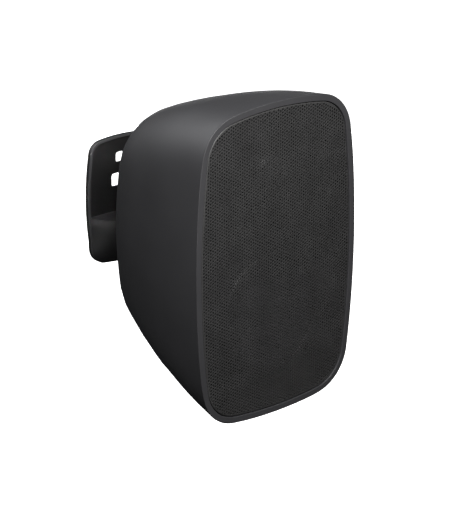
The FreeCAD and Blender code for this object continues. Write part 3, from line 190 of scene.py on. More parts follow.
def new_material(name, colour, roughness, **sockets):
    """A named material with its constants on the Principled shader; returns it, its tree and its shader."""
    material = bpy.data.materials.new(name)
    material.use_nodes = True
    tree = material.node_tree
    shader = tree.nodes["Principled BSDF"]
    shader.inputs["Base Color"].default_value = (*colour, 1.0)
    shader.inputs["Roughness"].default_value = roughness
    for socket, value in sockets.items():
        shader.inputs[socket.replace("_", " ")].default_value = value
    material.diffuse_color = (*colour, 1.0)
    return material, tree, shader


def shade(colour, factor):
    return (*[min(1.0, c * factor) for c in colour], 1.0)


def grained(name, colour, roughness, gloss, grain_mm, depth_mm, spread, stretch=(1, 1, 1), cloud_mm=40.0,
            **sockets):
    """A material with detail of two real sizes: a fine grain in the bump, slow clouds in colour and gloss.

    The clouds take the roughness from one end of gloss to the other."""
    material, tree, shader = new_material(name, colour, roughness, **sockets)
    place = add_node(tree, "ShaderNodeTexCoord")
    run = add_node(tree, "ShaderNodeMapping", {"Scale": stretch}, {"Vector": place.outputs["Object"]})
    fine = add_node(tree, "ShaderNodeTexNoise", {"Scale": 1 / (grain_mm * MM), "Detail": 3.0},
                    {"Vector": run.outputs["Vector"]})
    cloud = add_node(tree, "ShaderNodeTexNoise", {"Scale": 1 / (cloud_mm * MM), "Detail": 4.0},
                     {"Vector": run.outputs["Vector"]})
    bump = add_node(tree, "ShaderNodeBump", {"Strength": 1.0, "Distance": depth_mm * MM},
                    {"Height": fine.outputs["Fac"]})
    both = add_node(tree, "ShaderNodeMath", {"operation": "MULTIPLY_ADD", 1: FINE_SHARE},
                    {0: fine.outputs["Fac"], 2: cloud.outputs["Fac"]})
    tint = add_node(tree, "ShaderNodeMapRange", {"From Min": TINT_RANGE[0], "From Max": TINT_RANGE[1]},
                    {"Value": both.outputs["Value"]})
    tone = add_node(tree, "ShaderNodeMix", {"data_type": "RGBA", 6: shade(colour, 1 - spread),
                                            7: shade(colour, 1 + spread)}, {0: tint.outputs["Result"]})
    dull = add_node(tree, "ShaderNodeMapRange", {"From Min": CLOUD_RANGE[0], "From Max": CLOUD_RANGE[1],
                                                 "To Min": gloss[0], "To Max": gloss[1]},
                    {"Value": cloud.outputs["Fac"]})
    tree.links.new(tone.outputs[2], shader.inputs["Base Color"])
    tree.links.new(dull.outputs["Result"], shader.inputs["Roughness"])
    tree.links.new(bump.outputs["Normal"], shader.inputs["Normal"])
    return material


def ridged(tree, shader, colour, height, strength, depth_mm, tones):
    """Raise ridges on a material where a height runs from 0 to 1, with painted shade in the hollows and
    painted light on the crests.
    """
    bump = add_node(tree, "ShaderNodeBump", {"Strength": strength, "Distance": depth_mm * MM},
                    {"Height": height})
    tone = add_node(tree, "ShaderNodeMix", {"data_type": "RGBA", 6: shade(colour, tones[0]),
                                            7: shade(colour, tones[1])}, {0: height})
    tree.links.new(tone.outputs[2], shader.inputs["Base Color"])
    tree.links.new(bump.outputs["Normal"], shader.inputs["Normal"])


def woven(name, colour, roughness, thread_mm, depth_mm, **sockets):
    """A material with two crossing sets of threads, as bands along two axes of the frame."""
    material, tree, shader = new_material(name, colour, roughness, **sockets)
    place = add_node(tree, "ShaderNodeTexCoord")
    bands = [add_node(tree, "ShaderNodeTexWave", {"wave_type": "BANDS", "bands_direction": axis,
                                                  "Scale": BAND_PERIOD / (thread_mm * MM), "Distortion": 0.6,
                                                  "Detail": 1.0}, {"Vector": place.outputs["Object"]})
             for axis in ("X", "Z")]
    cross = add_node(tree, "ShaderNodeMath", {"operation": "MAXIMUM"},
                     {0: bands[0].outputs["Fac"], 1: bands[1].outputs["Fac"]})
    ridged(tree, shader, colour, cross.outputs["Value"], strength=0.8, depth_mm=depth_mm, tones=(0.6, 1.25))
    return material


def moulded_abs(name, colour, gloss=(0.55, 0.6), grain_mm=0.7, depth_mm=0.03):
    # ABS from a spark-eroded mould: a soft even sheen broken by a fine pebble. The real pebble is about
    # 0.1 mm and is drawn at 0.7 mm, as coarse as it has to be to show at this distance.
    return grained(name, colour, gloss[0], gloss, grain_mm, depth_mm, spread=0.05, IOR=1.53)


# Levels along Y between which painted light on the front of the bracket's rim fades in, and then gives way to
# painted shade in the recess towards the wall; the two tones scale the colour there
PAINTED_LIGHT_FADE_IN = (-5.6 * MM, -5.2 * MM)
PAINTED_SHADE_FADE_IN = (-4.0 * MM, -3.4 * MM)
PAINTED_LIGHT_TONE = 2.6
PAINTED_SHADE_TONE = 0.35


def bracket_abs_painted_light_shade(colour):
    # The same ABS with painted light along the front of the rim; behind it, painted shade darkens the plate
    # in the recess
    material = moulded_abs("Moulded ABS, bracket", colour, (0.5, 0.6))
    tree = material.node_tree
    shader = tree.nodes["Principled BSDF"]
    tone = shader.inputs["Base Color"].links[0].from_socket
    place = add_node(tree, "ShaderNodeTexCoord")
    axes = add_node(tree, "ShaderNodeSeparateXYZ", None, {"Vector": place.outputs["Object"]})
    painted_light_ramps = [add_node(tree, "ShaderNodeMapRange", {"From Min": low, "From Max": high, "To Min": 1.0,
                                                   "To Max": change}, {"Value": axes.outputs["Y"]})
             for (low, high), change in ((PAINTED_LIGHT_FADE_IN, PAINTED_LIGHT_TONE), (PAINTED_SHADE_FADE_IN, PAINTED_SHADE_TONE / PAINTED_LIGHT_TONE))]
    both = add_node(tree, "ShaderNodeMath", {"operation": "MULTIPLY"},
                    {0: painted_light_ramps[0].outputs["Result"], 1: painted_light_ramps[1].outputs["Result"]})
    painted_light_and_shade = add_node(tree, "ShaderNodeVectorMath", {"operation": "SCALE"},
                      {0: tone, "Scale": both.outputs["Value"]})
    tree.links.new(painted_light_and_shade.outputs["Vector"], shader.inputs["Base Color"])
    return material


def powder_coat(name, colour, gloss=(0.55, 0.65)):
    # Baked powder on steel: matt, with the low waves of orange peel about 1.5 mm across
    return grained(name, colour, gloss[0], gloss, grain_mm=1.5, depth_mm=0.03, spread=0.12, cloud_mm=25.0,
                   IOR=1.5)


def plated_steel(name="Zinc-plated steel", cloud_mm=6.0):
    # Bright zinc plate: metal with a faint blue cast and fine level marks left by turning and rolling
    return grained(name, linear("#b9bcc0"), 0.3, (0.24, 0.42), grain_mm=0.5, depth_mm=0.01, spread=0.14,
                   stretch=(1, 1, 6), cloud_mm=cloud_mm, Metallic=1.0)


def black_oxide_steel():
    # Oiled black oxide: dark metal with a dull sheen that varies from screw to screw
    return grained("Black-oxide steel", linear("#2c2c2e"), 0.45, (0.38, 0.55), grain_mm=0.6, depth_mm=0.01,
                   spread=0.2, cloud_mm=4.0, Metallic=1.0)


def natural_nylon():
    # Unfilled nylon: milky, a little light passes under the skin
    return grained("Natural nylon", linear("#ddd9cd"), 0.42, (0.38, 0.48), grain_mm=0.9, depth_mm=0.01,
                   spread=0.05, cloud_mm=8.0, IOR=1.53, Subsurface_Weight=0.15,
                   Subsurface_Radius=(1.2 * MM, 1.0 * MM, 0.8 * MM))


def sintered_ferrite():
    # Ferrite ceramic: matt grey, with the coarse grain of pressed powder
    return grained("Sintered ferrite", linear("#4b4a4c"), 0.75, (0.7, 0.85), grain_mm=0.8, depth_mm=0.04,
                   spread=0.2, cloud_mm=10.0)


def pulp_paper():
    # Pressed paper pulp: dull black, flecked with short upright fibres
    return grained("Pressed paper pulp", linear("#26262a"), 0.85, (0.8, 0.95), grain_mm=1.1, depth_mm=0.06,
                   spread=0.28, stretch=(1.0, 1.0, 0.35), cloud_mm=7.0, IOR=1.45)


def nitrile_rubber():
    # Moulded nitrile: deep black with a soft satin gloss
    return grained("Nitrile rubber", linear("#1c1c1d"), 0.5, (0.44, 0.56), grain_mm=0.6, depth_mm=0.01,
                   spread=0.12, cloud_mm=12.0, IOR=1.52)


def closed_cell_foam():
    # Closed-cell foam: matt black, pitted all over by cut bubbles
    return grained("Closed-cell foam", linear("#1a1a1a"), 0.95, (0.9, 1.0), grain_mm=0.5, depth_mm=0.08,
                   spread=0.3, cloud_mm=5.0)


def resin_cloth():
    # Cotton stiffened with phenolic resin: tan weave with a dry surface
    return woven("Resin-stiffened cotton", linear("#b07f3e"), 0.8, thread_mm=0.8, depth_mm=0.08,
                 Sheen_Weight=0.2)


def coated_silk():
    # Doped silk: near black, thread lines under a thin coat
    return woven("Coated silk", linear("#1f1f21"), 0.65, thread_mm=0.6, depth_mm=0.03, Sheen_Weight=0.1,
                 Coat_Weight=0.05)


def copper_wire():
    # Enamelled wire wound in layers: bright copper under lacquer, one ridge to each turn
    colour = linear("#b5653a")
    turn_mm = 0.6
    material, tree, shader = new_material("Enamelled copper wire", colour, 0.32, Metallic=1.0,
                                          Coat_Weight=0.5)
    place = add_node(tree, "ShaderNodeTexCoord")
    turns = add_node(tree, "ShaderNodeTexWave",
                     {"bands_direction": "Y", "Scale": BAND_PERIOD / (turn_mm * MM)},
                     {"Vector": place.outputs["Object"]})
    ridged(tree, shader, colour, turns.outputs["Fac"], strength=1.0, depth_mm=0.1, tones=(0.5, 1.1))
    return material


def tinned_brass():
    # Tinned brass strip: pale yellow metal, rolled lines along it
    return grained("Tinned brass", linear("#cdb98a"), 0.3, (0.25, 0.4), grain_mm=0.4, depth_mm=0.01,
                   spread=0.12, stretch=(6, 1, 1), cloud_mm=5.0, Metallic=1.0)


def phenolic_board():
    # Paper phenolic laminate: brown, with a cloudy paper fibre under the resin
    return grained("Paper phenolic laminate", linear("#8a5a2b"), 0.5, (0.42, 0.6), grain_mm=1.2,
                   depth_mm=0.02, spread=0.18, stretch=(1, 1, 0.3), cloud_mm=9.0, Coat_Weight=0.1)


def film_wrap():
    # Polyester tape wrap: glossy yellow, with faint streaks that run round the roll
    return grained("Polyester film wrap", linear("#c79a2e"), 0.28, (0.22, 0.36), grain_mm=3.0, depth_mm=0.03,
                   spread=0.08, stretch=(1, 0.2, 0.2), cloud_mm=10.0, IOR=1.57, Coat_Weight=0.3)


def cement_ceramic():
    # Cement-filled ceramic: chalky off-white with fine pores
    return grained("Cement ceramic", linear("#d7d3c6"), 0.9, (0.85, 0.97), grain_mm=0.5, depth_mm=0.06,
                   spread=0.1, cloud_mm=6.0)


def soft_pvc():
    # Soft PVC sleeve: dark, slightly waxy
    return grained("Soft PVC sleeve", linear("#3a3a3c"), 0.48, (0.42, 0.55), grain_mm=1.4, depth_mm=0.02,
                   spread=0.1, cloud_mm=15.0, IOR=1.53)


def needled_felt():
    # Needled polyester: off-white tangle of fibre, with no gloss
    return grained("Needled polyester felt", linear("#d6d5cf"), 0.98, (0.94, 1.0), grain_mm=1.0, depth_mm=0.5,
                   spread=0.12, cloud_mm=5.0, Sheen_Weight=0.5)


def finish(material, *names):
    """Give CAD nodes a material in every slot that they have."""
    for name in names:
        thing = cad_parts[name]
        if not thing.material_slots:
            thing.data.materials.append(material)
        for slot in thing.material_slots:
            slot.material = material


# Meshes

WELD = 0.002 * MM
FLAT_LIMIT = math.radians(0.5)
SMOOTH_EDGE = math.radians(35)
SHARP_EDGE = math.radians(40)
EASE_SEGMENTS = 2
ROUND_SEGMENTS = 4


def new_piece(name, vertices, faces, material, body, node):
    """A mesh piece in the frame, riding on a body and standing for a CAD node."""
    mesh = bpy.data.meshes.new(name)
    mesh.from_pydata(vertices, [], faces)
    mesh.update()
    mesh.materials.append(material)
    piece = bpy.data.objects.new(name, mesh)
    bpy.context.scene.collection.objects.link(piece)
    build = bmesh.new()
    build.from_mesh(mesh)
    bmesh.ops.recalc_face_normals(build, faces=build.faces)
    for face in build.faces:
        face.smooth = True
    for edge in build.edges:
        edge.smooth = edge.is_manifold and edge.calc_face_angle(0.0) < SMOOTH_EDGE
    build.to_mesh(mesh)
    build.free()
    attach(piece, body)
    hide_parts(node)
    return piece


def ease(build, edges, width, segments):
    return bmesh.ops.bevel(build, geom=edges, offset=width, offset_type="OFFSET", segments=segments,
                           profile=0.5, affect="EDGES", clamp_overlap=True)


def eased(name, material, body, width, rounded=None, round_width=0.0):
    """A copy of a CAD node with its triangles joined into flat faces and its sharp edges eased; the edges
    that a test picks out are first rounded further."""
    build = bmesh.new()
    build.from_mesh(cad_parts[name].data)
    bmesh.ops.remove_doubles(build, verts=build.verts, dist=WELD)
    bmesh.ops.dissolve_limit(build, angle_limit=FLAT_LIMIT, verts=build.verts, edges=build.edges)
    if rounded:
        ease(build, [edge for edge in build.edges if rounded(edge)], round_width, ROUND_SEGMENTS)
    sharp = [edge for edge in build.edges if edge.is_manifold and edge.calc_face_angle() > SHARP_EDGE]
    ease(build, sharp, width, EASE_SEGMENTS)
    build.verts.index_update()
    vertices = [tuple(v.co) for v in build.verts]
    faces = [[v.index for v in f.verts] for f in build.faces]
    build.free()
    piece = new_piece(f"{name}_eased", vertices, faces, material, body, name)
    even = piece.modifiers.new("even_normals", "WEIGHTED_NORMAL")
    even.keep_sharp = True


class Solid:
    """Vertices and faces gathered from turned and filled forms, each laid along an axis."""

    def __init__(self):
        self.vertices = []
        self.faces = []

    def lay(self, vertices, faces, place, axis):
        """Add a form made about its own Z axis, at a place and along an axis."""
        turn = Vector(UP).rotation_difference(Vector(axis))
        base = len(self.vertices)
        self.vertices += [tuple(Vector(place) + turn @ Vector(v)) for v in vertices]
        self.faces += [[base + n for n in face] for face in faces]


def turned(rows, sides):
    """A form from rows of (radius, height); either may be a function of the angle."""
    vertices = []
    faces = []
    rings = []
    for radius, height in rows:
        ring = []
        for number in range(sides if radius else 1):
            turn = math.tau * number / sides
            reach = radius(turn) if callable(radius) else radius
            level = height(turn) if callable(height) else height
            ring.append(len(vertices))
            vertices.append((reach * math.cos(turn), reach * math.sin(turn), level))
        rings.append(ring)
    for low, high in zip(rings, rings[1:]):
        for number in range(sides):
            beside = number + 1
            corners = [low[number % len(low)], low[beside % sides % len(low)],
                       high[beside % sides % len(high)], high[number % len(high)]]
            faces.append(list(dict.fromkeys(corners)))
    return vertices, faces


# Shapes of screws, bolts and nuts, mostly as shares of a radius or a height

THREAD_ROOT = 0.84
HEAD_SIDES = 40
HEAD_BULGE = 2.6
HEAD_WALL = 0.2
HEAD_ROWS = (0.985, 0.95, 0.89, 0.8, 0.66)
TIP_LENGTH = 1.5
TIP_WIDTH = 0.4
RECESS_MOUTH = (0.52, 0.13)
RECESS_FLOOR = (0.3, 0.09)
RECESS_LEVEL = 0.35
HEX_SIDES = 48
HEX_FLAT = 0.475
CHAMFER_SLOPE = math.tan(math.radians(30))
BOLT_END = 0.12
BOLT_END_WIDTH = 0.7
# Kinds of result that the triangulation can give, and how close points may lie
INSIDE_OUTLINE = 1
BETWEEN_LINES = 2
SCREW_CLOSE = 1e-8
SHEET_CLOSE = 1e-7


def thread_rows(radius, start, end, pitch):
    """Ridges of a thread from one height to another, as rows of (radius, height)."""
    root = radius * THREAD_ROOT
    count = max(1, int((end - start) / pitch))
    step = (end - start) / count
    rows = []
    for number in range(count):
        rows += [(root, start + step * number), (radius, start + step * (number + 0.5))]
    return rows + [(root, end)]


def cross_screw(head_radius, head_height, shank_radius, length, pitch):
    """A pan-head screw with a cross recess: its head above height 0, its threaded shank below."""

    def dome(radius):
        return head_height * (1 - (radius / head_radius) ** HEAD_BULGE) ** (1 / HEAD_BULGE)

    rows = [(0.0, -length), (shank_radius * TIP_WIDTH, -length)]
    rows += thread_rows(shank_radius, shank_radius * TIP_LENGTH - length, 0.0, pitch)
    rows += [(head_radius, 0.0), (head_radius, head_height * HEAD_WALL)]
    rows += [(head_radius * share, dome(head_radius * share)) for share in HEAD_ROWS]
    vertices, faces = turned(rows, HEAD_SIDES)
    ring = list(range(len(vertices) - HEAD_SIDES, len(vertices)))

    def cross(shares, level):
        arm, half = [head_radius * share for share in shares]
        corners = []
        for quarter in range(4):
            for x, y in ((arm, -half), (arm, half), (half, half)):
                turn = quarter * math.pi / 2
                u = x * math.cos(turn) - y * math.sin(turn)
                w = x * math.sin(turn) + y * math.cos(turn)
                corners.append(len(vertices))
                vertices.append((u, w, level(math.hypot(u, w))))
        return corners

    mouth = cross(RECESS_MOUTH, dome)
    floor = cross(RECESS_FLOOR, lambda radius: head_height * RECESS_LEVEL)
    source = mouth + ring
    count = len(mouth)
    flat = [Vector(vertices[n][:2]) for n in source]
    edges = [(n, (n + 1) % count) for n in range(count)]
    edges += [(count + n, count + (n + 1) % HEAD_SIDES) for n in range(HEAD_SIDES)]
    found = delaunay_2d_cdt(flat, edges, [], BETWEEN_LINES, SCREW_CLOSE)
    faces += [[source[found[3][n][0]] for n in face] for face in found[2]]
    for n in range(count):
        m = (n + 1) % count
        faces.append([mouth[n], mouth[m], floor[m], floor[n]])
    faces.append(floor)
    return vertices, faces


def hex_rows(across, height, up):
    """Rows of one chamfered hexagon end, from its side to the flat that is turned up or down."""
    flat = across * HEX_FLAT

    def edge(turn):
        return across / 2 / math.cos(turn % (math.pi / 3) - math.pi / 6)

    def shoulder(turn):
        fall = (edge(turn) - flat) * CHAMFER_SLOPE
        return height - fall if up else height + fall

    rows = [(edge, shoulder), (flat, height)]
    return rows if up else rows[::-1]


def hex_bolt(across, head, radius, length, pitch):
    """A hexagon bolt: head below height 0, then a threaded shank with a chamfered end."""
    rows = [(0.0, -head)] + hex_rows(across, -head, False) + hex_rows(across, 0.0, True)
    rows += thread_rows(radius, 0.0, length - radius * BOLT_END, pitch)
    rows += [(radius * BOLT_END_WIDTH, length), (0.0, length)]
    return turned(rows, HEX_SIDES)


def hex_nut(across, height, bore):
    """A hexagon nut, chamfered on both ends, with a plain bore."""
    rows = [(bore, 0.0)] + hex_rows(across, 0.0, False) + hex_rows(across, height, True)
    rows += [(bore, height), (bore, 0.0)]
    return turned(rows, HEX_SIDES)


# The soft rectangle of the front: eight tangent arcs

# Radii of the upper and lower corners, and of the sides, the top and the bottom
CORNERS = (41.0 * MM, 43.0 * MM)
BOWS = (814.0 * MM, 329.0 * MM, 409.0 * MM)
# How far the baffle's edge lies inside the outline, and how finely each arc of one half is drawn
BAFFLE_INSET = 6.6 * MM
ARC_STEPS = (14, 22, 44, 22, 14)


class Barrel:
    """A soft rectangle in the XZ plane: bowed sides and ends joined by round corners, in metres."""

    def __init__(self, half, top, bottom, corners, bows):
        self.half = half
        self.top = top
        self.bottom = bottom
        self.corners = corners
        self.bows = bows
        self.arcs = self.joined_arcs()

    def inset(self, distance):
        return Barrel(self.half - distance, self.top - distance, self.bottom - distance,
                      [c - distance for c in self.corners], [b - distance for b in self.bows])

    def joined_arcs(self):
        """The right-hand half from the bottom to the top as (centre, radius, start, end)."""
        side, top, bottom = self.bows
        upper, lower = self.corners
        side_c = Vector((self.half - side, 0.0))
        top_c = Vector((0.0, self.top - top))
        bottom_c = Vector((0.0, bottom - self.bottom))
        upper_c = crossing(side_c, side - upper, top_c, top - upper, True)
        lower_c = crossing(side_c, side - lower, bottom_c, bottom - lower, False)

        def angle(centre, point):
            return math.atan2(point.y - centre.y, point.x - centre.x)

        foot = angle(bottom_c, lower_c)
        low = angle(side_c, lower_c)
        high = angle(side_c, upper_c)
        head = angle(top_c, upper_c)
        return [(bottom_c, bottom, -math.pi / 2, foot), (lower_c, lower, foot, low),
                (side_c, side, low, high), (upper_c, upper, high, head), (top_c, top, head, math.pi / 2)]

    def points(self):
        """Points anticlockwise from the bottom middle, seen from the front with X to the right."""
        right = []
        for (centre, radius, start, end), count in zip(self.arcs, ARC_STEPS):
            for number in range(count):
                turn = start + (end - start) * number / count
                right.append((centre.x + radius * math.cos(turn), centre.y + radius * math.sin(turn)))
        crown = (0.0, self.top)
        left = [(-x, z) for x, z in right[:0:-1]]
        return right + [crown] + left

    def contains(self, point):
        """Whether a point lies inside, from the bows and the corner circles."""
        point = Vector((abs(point.x), point.y))
        for number, (centre, radius, start, end) in enumerate(self.arcs):
            away = point - centre
            corner = number % 2 == 1
            if away.length > radius and (not corner or start < math.atan2(away.y, away.x) < end):
                return False
        return True


def crossing(centre_a, radius_a, centre_b, radius_b, upper):
    """Where two circles cross, the upper or the lower point."""
    gap = centre_b - centre_a
    apart = gap.length
    along = (radius_a ** 2 - radius_b ** 2 + apart ** 2) / (2 * apart)
    across = math.sqrt(radius_a ** 2 - along ** 2)
    unit = gap / apart
    points = [centre_a + unit * along + Vector((-unit.y, unit.x)) * across * side for side in (1, -1)]
    return max(points, key=lambda p: p.y) if upper else min(points, key=lambda p: p.y)


def front_outline():
    """The cabinet's front outline about its own middle, and the height of that middle."""
    low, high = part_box("front_baffle")
    half = high.x + BAFFLE_INSET
    reach = (high.z - low.z) / 2 + BAFFLE_INSET
    return Barrel(half, reach, reach, CORNERS, BOWS), (high.z + low.z) / 2


# Grille

HEX_TURNS = [math.radians(60 * k) for k in range(6)]
# A hole at the edge is pierced if more than this share of a whole one is left
LEAST_HOLE = 0.3
# How often the line between two corners is halved to find where a hole is cut off
HALVINGS = 10
OUTER_BEND_STEPS = 6
INNER_BEND_STEPS = 4


def trimmed_hole(room, x, z, radius):
    """A hexagonal hole, cut off along the line where it would leave the room."""
    corners = [Vector((x + radius * math.cos(turn), z + radius * math.sin(turn))) for turn in HEX_TURNS]
    inside = [room.contains(corner) for corner in corners]
    hole = []
    for n, corner in enumerate(corners):
        m = (n + 1) % len(corners)
        if inside[n]:
            hole.append(corner)
        if inside[n] != inside[m]:
            kept, lost = (corner, corners[m]) if inside[n] else (corners[m], corner)
            for halving in range(HALVINGS):
                middle = (kept + lost) / 2
                if room.contains(middle):
                    kept = middle
                else:
                    lost = middle
            hole.append(kept)
    return hole


def outline_area(points):
    return abs(sum(a.cross(b) for a, b in zip(points, points[1:] + points[:1]))) / 2


def staggered_holes(room, pitch, width):
    """Hexagonal holes in a staggered pattern that fills a room up to its edge."""
    radius = width / math.sqrt(3)
    whole = 1.5 * math.sqrt(3) * radius ** 2
    step = pitch * math.sqrt(3) / 2
    columns = int(room.half / step) + 1
    rows = int(room.top / pitch) + 2
    holes = []
    for column in range(-columns, columns + 1):
        shift = pitch / 2 if column % 2 else 0.0
        for row in range(-rows, rows + 1):
            hole = trimmed_hole(room, column * step, row * pitch + shift, radius)
            if len(hole) > 2 and outline_area(hole) > LEAST_HOLE * whole:
                holes.append(hole)
    return holes


def pierced_sheet(outline, holes):
    """Triangles of a flat sheet between its outline and its holes, on their corners listed in that order."""
    points = []
    edges = []
    owner = []
    for number, loop in enumerate([outline] + holes):
        base = len(points)
        points += loop
        owner += [number] * len(loop)
        edges += [(base + n, base + (n + 1) % len(loop)) for n in range(len(loop))]
    found = delaunay_2d_cdt(points, edges, [], INSIDE_OUTLINE, SHEET_CLOSE)
    triangles = []
    for face in found[2]:
        corners = [found[3][n][0] for n in face]
        owners = {owner[n] for n in corners}
        if len(owners) > 1 or owners == {0}:
            triangles.append(corners)
    return points, triangles


def folded_edge(bend, sheet, depth):
    """The section of the pan's edge as (inset, depth): round the outside, over the lip and back inside."""
    section = []
    for number in range(1, OUTER_BEND_STEPS + 1):
        turn = math.radians(90 * number / OUTER_BEND_STEPS)
        section.append((bend - bend * math.sin(turn), bend - bend * math.cos(turn)))
    section += [(0.0, depth), (sheet, depth)]
    inner = bend - sheet
    for number in range(INNER_BEND_STEPS):
        turn = math.radians(90 * number / INNER_BEND_STEPS)
        section.append((bend - inner * math.cos(turn), bend - inner * math.sin(turn)))
    return section


class LOUDSPEAKER_OT_grille(Operator):
    """Pierced steel pan in front of the baffle"""

    bl_idname = "loudspeaker.grille"
    bl_label = "Grille"

    def execute(self, context):
        size = sizes()
        low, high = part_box("grille")
        outline, level = front_outline()
        edge = outline.inset(outline.half - high.x)
        bend = size.pan_bend
        border = [Vector(p) for p in edge.inset(bend).points()]
        holes = staggered_holes(edge.inset(bend + size.blank_edge), size.hole_pitch, size.hole_width)
        flat, triangles = pierced_sheet(border, holes)
        count = len(border)
        total = len(flat)
        vertices = [(p.x, low.y + depth, level + p.y) for depth in (0.0, size.sheet) for p in flat]
        faces = triangles + [[total + n for n in reversed(face)] for face in triangles]
        base = count
        for hole in holes:
            for n in range(len(hole)):
                m = (n + 1) % len(hole)
                faces.append([base + n, base + m, total + base + m, total + base + n])
            base += len(hole)
        rings = [range(count)]
        for inset, depth in folded_edge(bend, size.sheet, high.y - low.y):
            first = len(vertices)
            vertices += [(x, low.y + depth, level + z) for x, z in edge.inset(inset).points()]
            rings.append(range(first, first + count))
        rings.append(range(total, total + count))
        for first, second in zip(rings, rings[1:]):
            for n in range(count):
                m = (n + 1) % count
                faces.append([first[n], first[m], second[m], second[n]])
        paint = powder_coat("Powder-coated steel", colours().grille)
        new_piece("grille_pan", vertices, faces, paint, "cabinet", "grille")
        return {"FINISHED"}


# Cabinet; its faces are flagged through their material index while it is built

PLAIN, SKIN, RIM, ROUND = 0, 1, 2, 3
SMOOTH_LIMIT = math.radians(25)
RIM_SEGMENTS = 3
CELLS_PER_REACH = 4
# A custom normal of zero leaves the normal to the mesh
FACE_NORMAL = (0.0, 0.0, 0.0)


def flag_skin(build):
    """Mark the flat front rim, and the outer skin as it is reached face by face from the left side."""
    front = min(vertex.co.y for vertex in build.verts)
    for face in build.faces:
        if all(vertex.co.y < front + WELD for vertex in face.verts):
            face.material_index = RIM
    waiting = [min(build.faces, key=lambda face: face.calc_center_median().x)]
    waiting[0].material_index = SKIN
    while waiting:
        for edge in waiting.pop().edges:
            if edge.calc_face_angle() > SMOOTH_LIMIT:
                continue
            for face in edge.link_faces:
                if face.material_index != SKIN:
                    face.material_index = SKIN
                    waiting.append(face)


def round_rim(build, width):
    """Round both edges of the front rim."""
    edges = [edge for edge in build.edges
             if len({face.material_index == RIM for face in edge.link_faces}) == 2]
    for face in ease(build, edges, width, RIM_SEGMENTS)["faces"]:
        face.material_index = ROUND


def divide_skin(build, step):
    """Cut the skin along planes a step apart in each direction, and leave it in triangles."""
    for axis in range(3):
        reach = [vertex.co[axis] for vertex in build.verts]
        normal = [0.0, 0.0, 0.0]
        normal[axis] = 1.0
        place = [0.0, 0.0, 0.0]
        for number in range(math.ceil(min(reach) / step), math.floor(max(reach) / step) + 1):
            place[axis] = number * step
            skin = [face for face in build.faces if face.material_index == SKIN]
            parts = {part for face in skin for part in (*face.verts, *face.edges)}
            bmesh.ops.bisect_plane(build, geom=list(parts) + skin, dist=WELD, plane_co=place, plane_no=normal)
    bmesh.ops.triangulate(build, faces=[face for face in build.faces if len(face.verts) > 3])


def soft_normals(build, reach):
    """Vertex normals averaged over the skin within a reach, so that its flats run softly into its rolls."""
    cells = {}
    for face in build.faces:
        if face.material_index == SKIN:
            middle = face.calc_center_median()
            area = face.calc_area()
            key = tuple(round(c * CELLS_PER_REACH / reach) for c in middle)
            cell = cells.setdefault(key, [Vector(), Vector(), 0.0])
            cell[0] += face.normal * area
            cell[1] += middle * area
            cell[2] += area
    samples = list(cells.values())
    tree = KDTree(len(samples))
    for number, (normal, middle, area) in enumerate(samples):
        tree.insert(middle / area, number)
    tree.balance()
    normals = {}
    for vertex in build.verts:
        if any(face.material_index == SKIN for face in vertex.link_faces):
            total = Vector()
            for place, number, away in tree.find_range(vertex.co, reach):
                total += samples[number][0] * (1 - (away / reach) ** 2) ** 2
            normals[vertex.index] = total.normalized()
    return normals


def moulded_shell(material):
    """The cabinet shell with a rounded rim and a finely divided skin that light runs smoothly over."""
    size = sizes()
    build = bmesh.new()
    build.from_mesh(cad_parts["cabinet_shell"].data)
    bmesh.ops.remove_doubles(build, verts=build.verts, dist=WELD)
    flag_skin(build)
    inside_rim = [e for e in build.edges if all(face.material_index == RIM for face in e.link_faces)]
    bmesh.ops.dissolve_limit(build, angle_limit=FLAT_LIMIT, verts=build.verts, edges=inside_rim)
    round_rim(build, size.rim_round)
    divide_skin(build, size.skin_step)
    build.normal_update()
    build.verts.index_update()
    normals = soft_normals(build, size.skin_reach)
    vertices = [tuple(vertex.co) for vertex in build.verts]
    faces = [[vertex.index for vertex in face.verts] for face in build.faces]
    flags = [face.material_index for face in build.faces]
    flat = {n for face, flag in zip(faces, flags) if flag == RIM for n in face}
    build.free()
    shell = new_piece("cabinet_moulding", vertices, faces, material, "cabinet",
                      "cabinet_shell")
    loops = []
    for polygon, flag in zip(shell.data.polygons, flags):
        for n in polygon.vertices:
            if flag == PLAIN:
                loops.append(FACE_NORMAL)
            elif n in flat:
                loops.append(FORWARD)
            else:
                loops.append(tuple(normals.get(n, FACE_NORMAL)))
    shell.data.normals_split_custom_set(loops)
    shell.cycles.shadow_terminator_geometry_offset = 1.0


class LOUDSPEAKER_OT_cabinet(Operator):
    """Moulded cabinet, baffle, gasket and damping pad"""

    bl_idname = "loudspeaker.cabinet"
    bl_label = "Cabinet"

    def execute(self, context):
        moulded_shell(moulded_abs("Moulded ABS, satin charcoal", colours().cabinet))
        finish(moulded_abs("Moulded ABS, matt black", colours().baffle, (0.7, 0.8)), "front_baffle")
        finish(closed_cell_foam(), "baffle_gasket")
        finish(needled_felt(), "damping_pad")
        return {"FINISHED"}


# Drivers

# Widths of the flats by which each bending ring is glued down outside and inside
RING_SEATS = {
    "woofer_surround": (2.6 * MM, 2.8 * MM),
    "woofer_spider": (6.2 * MM, 1.2 * MM),
    "tweeter_surround": (1.6 * MM, 0.0),
}


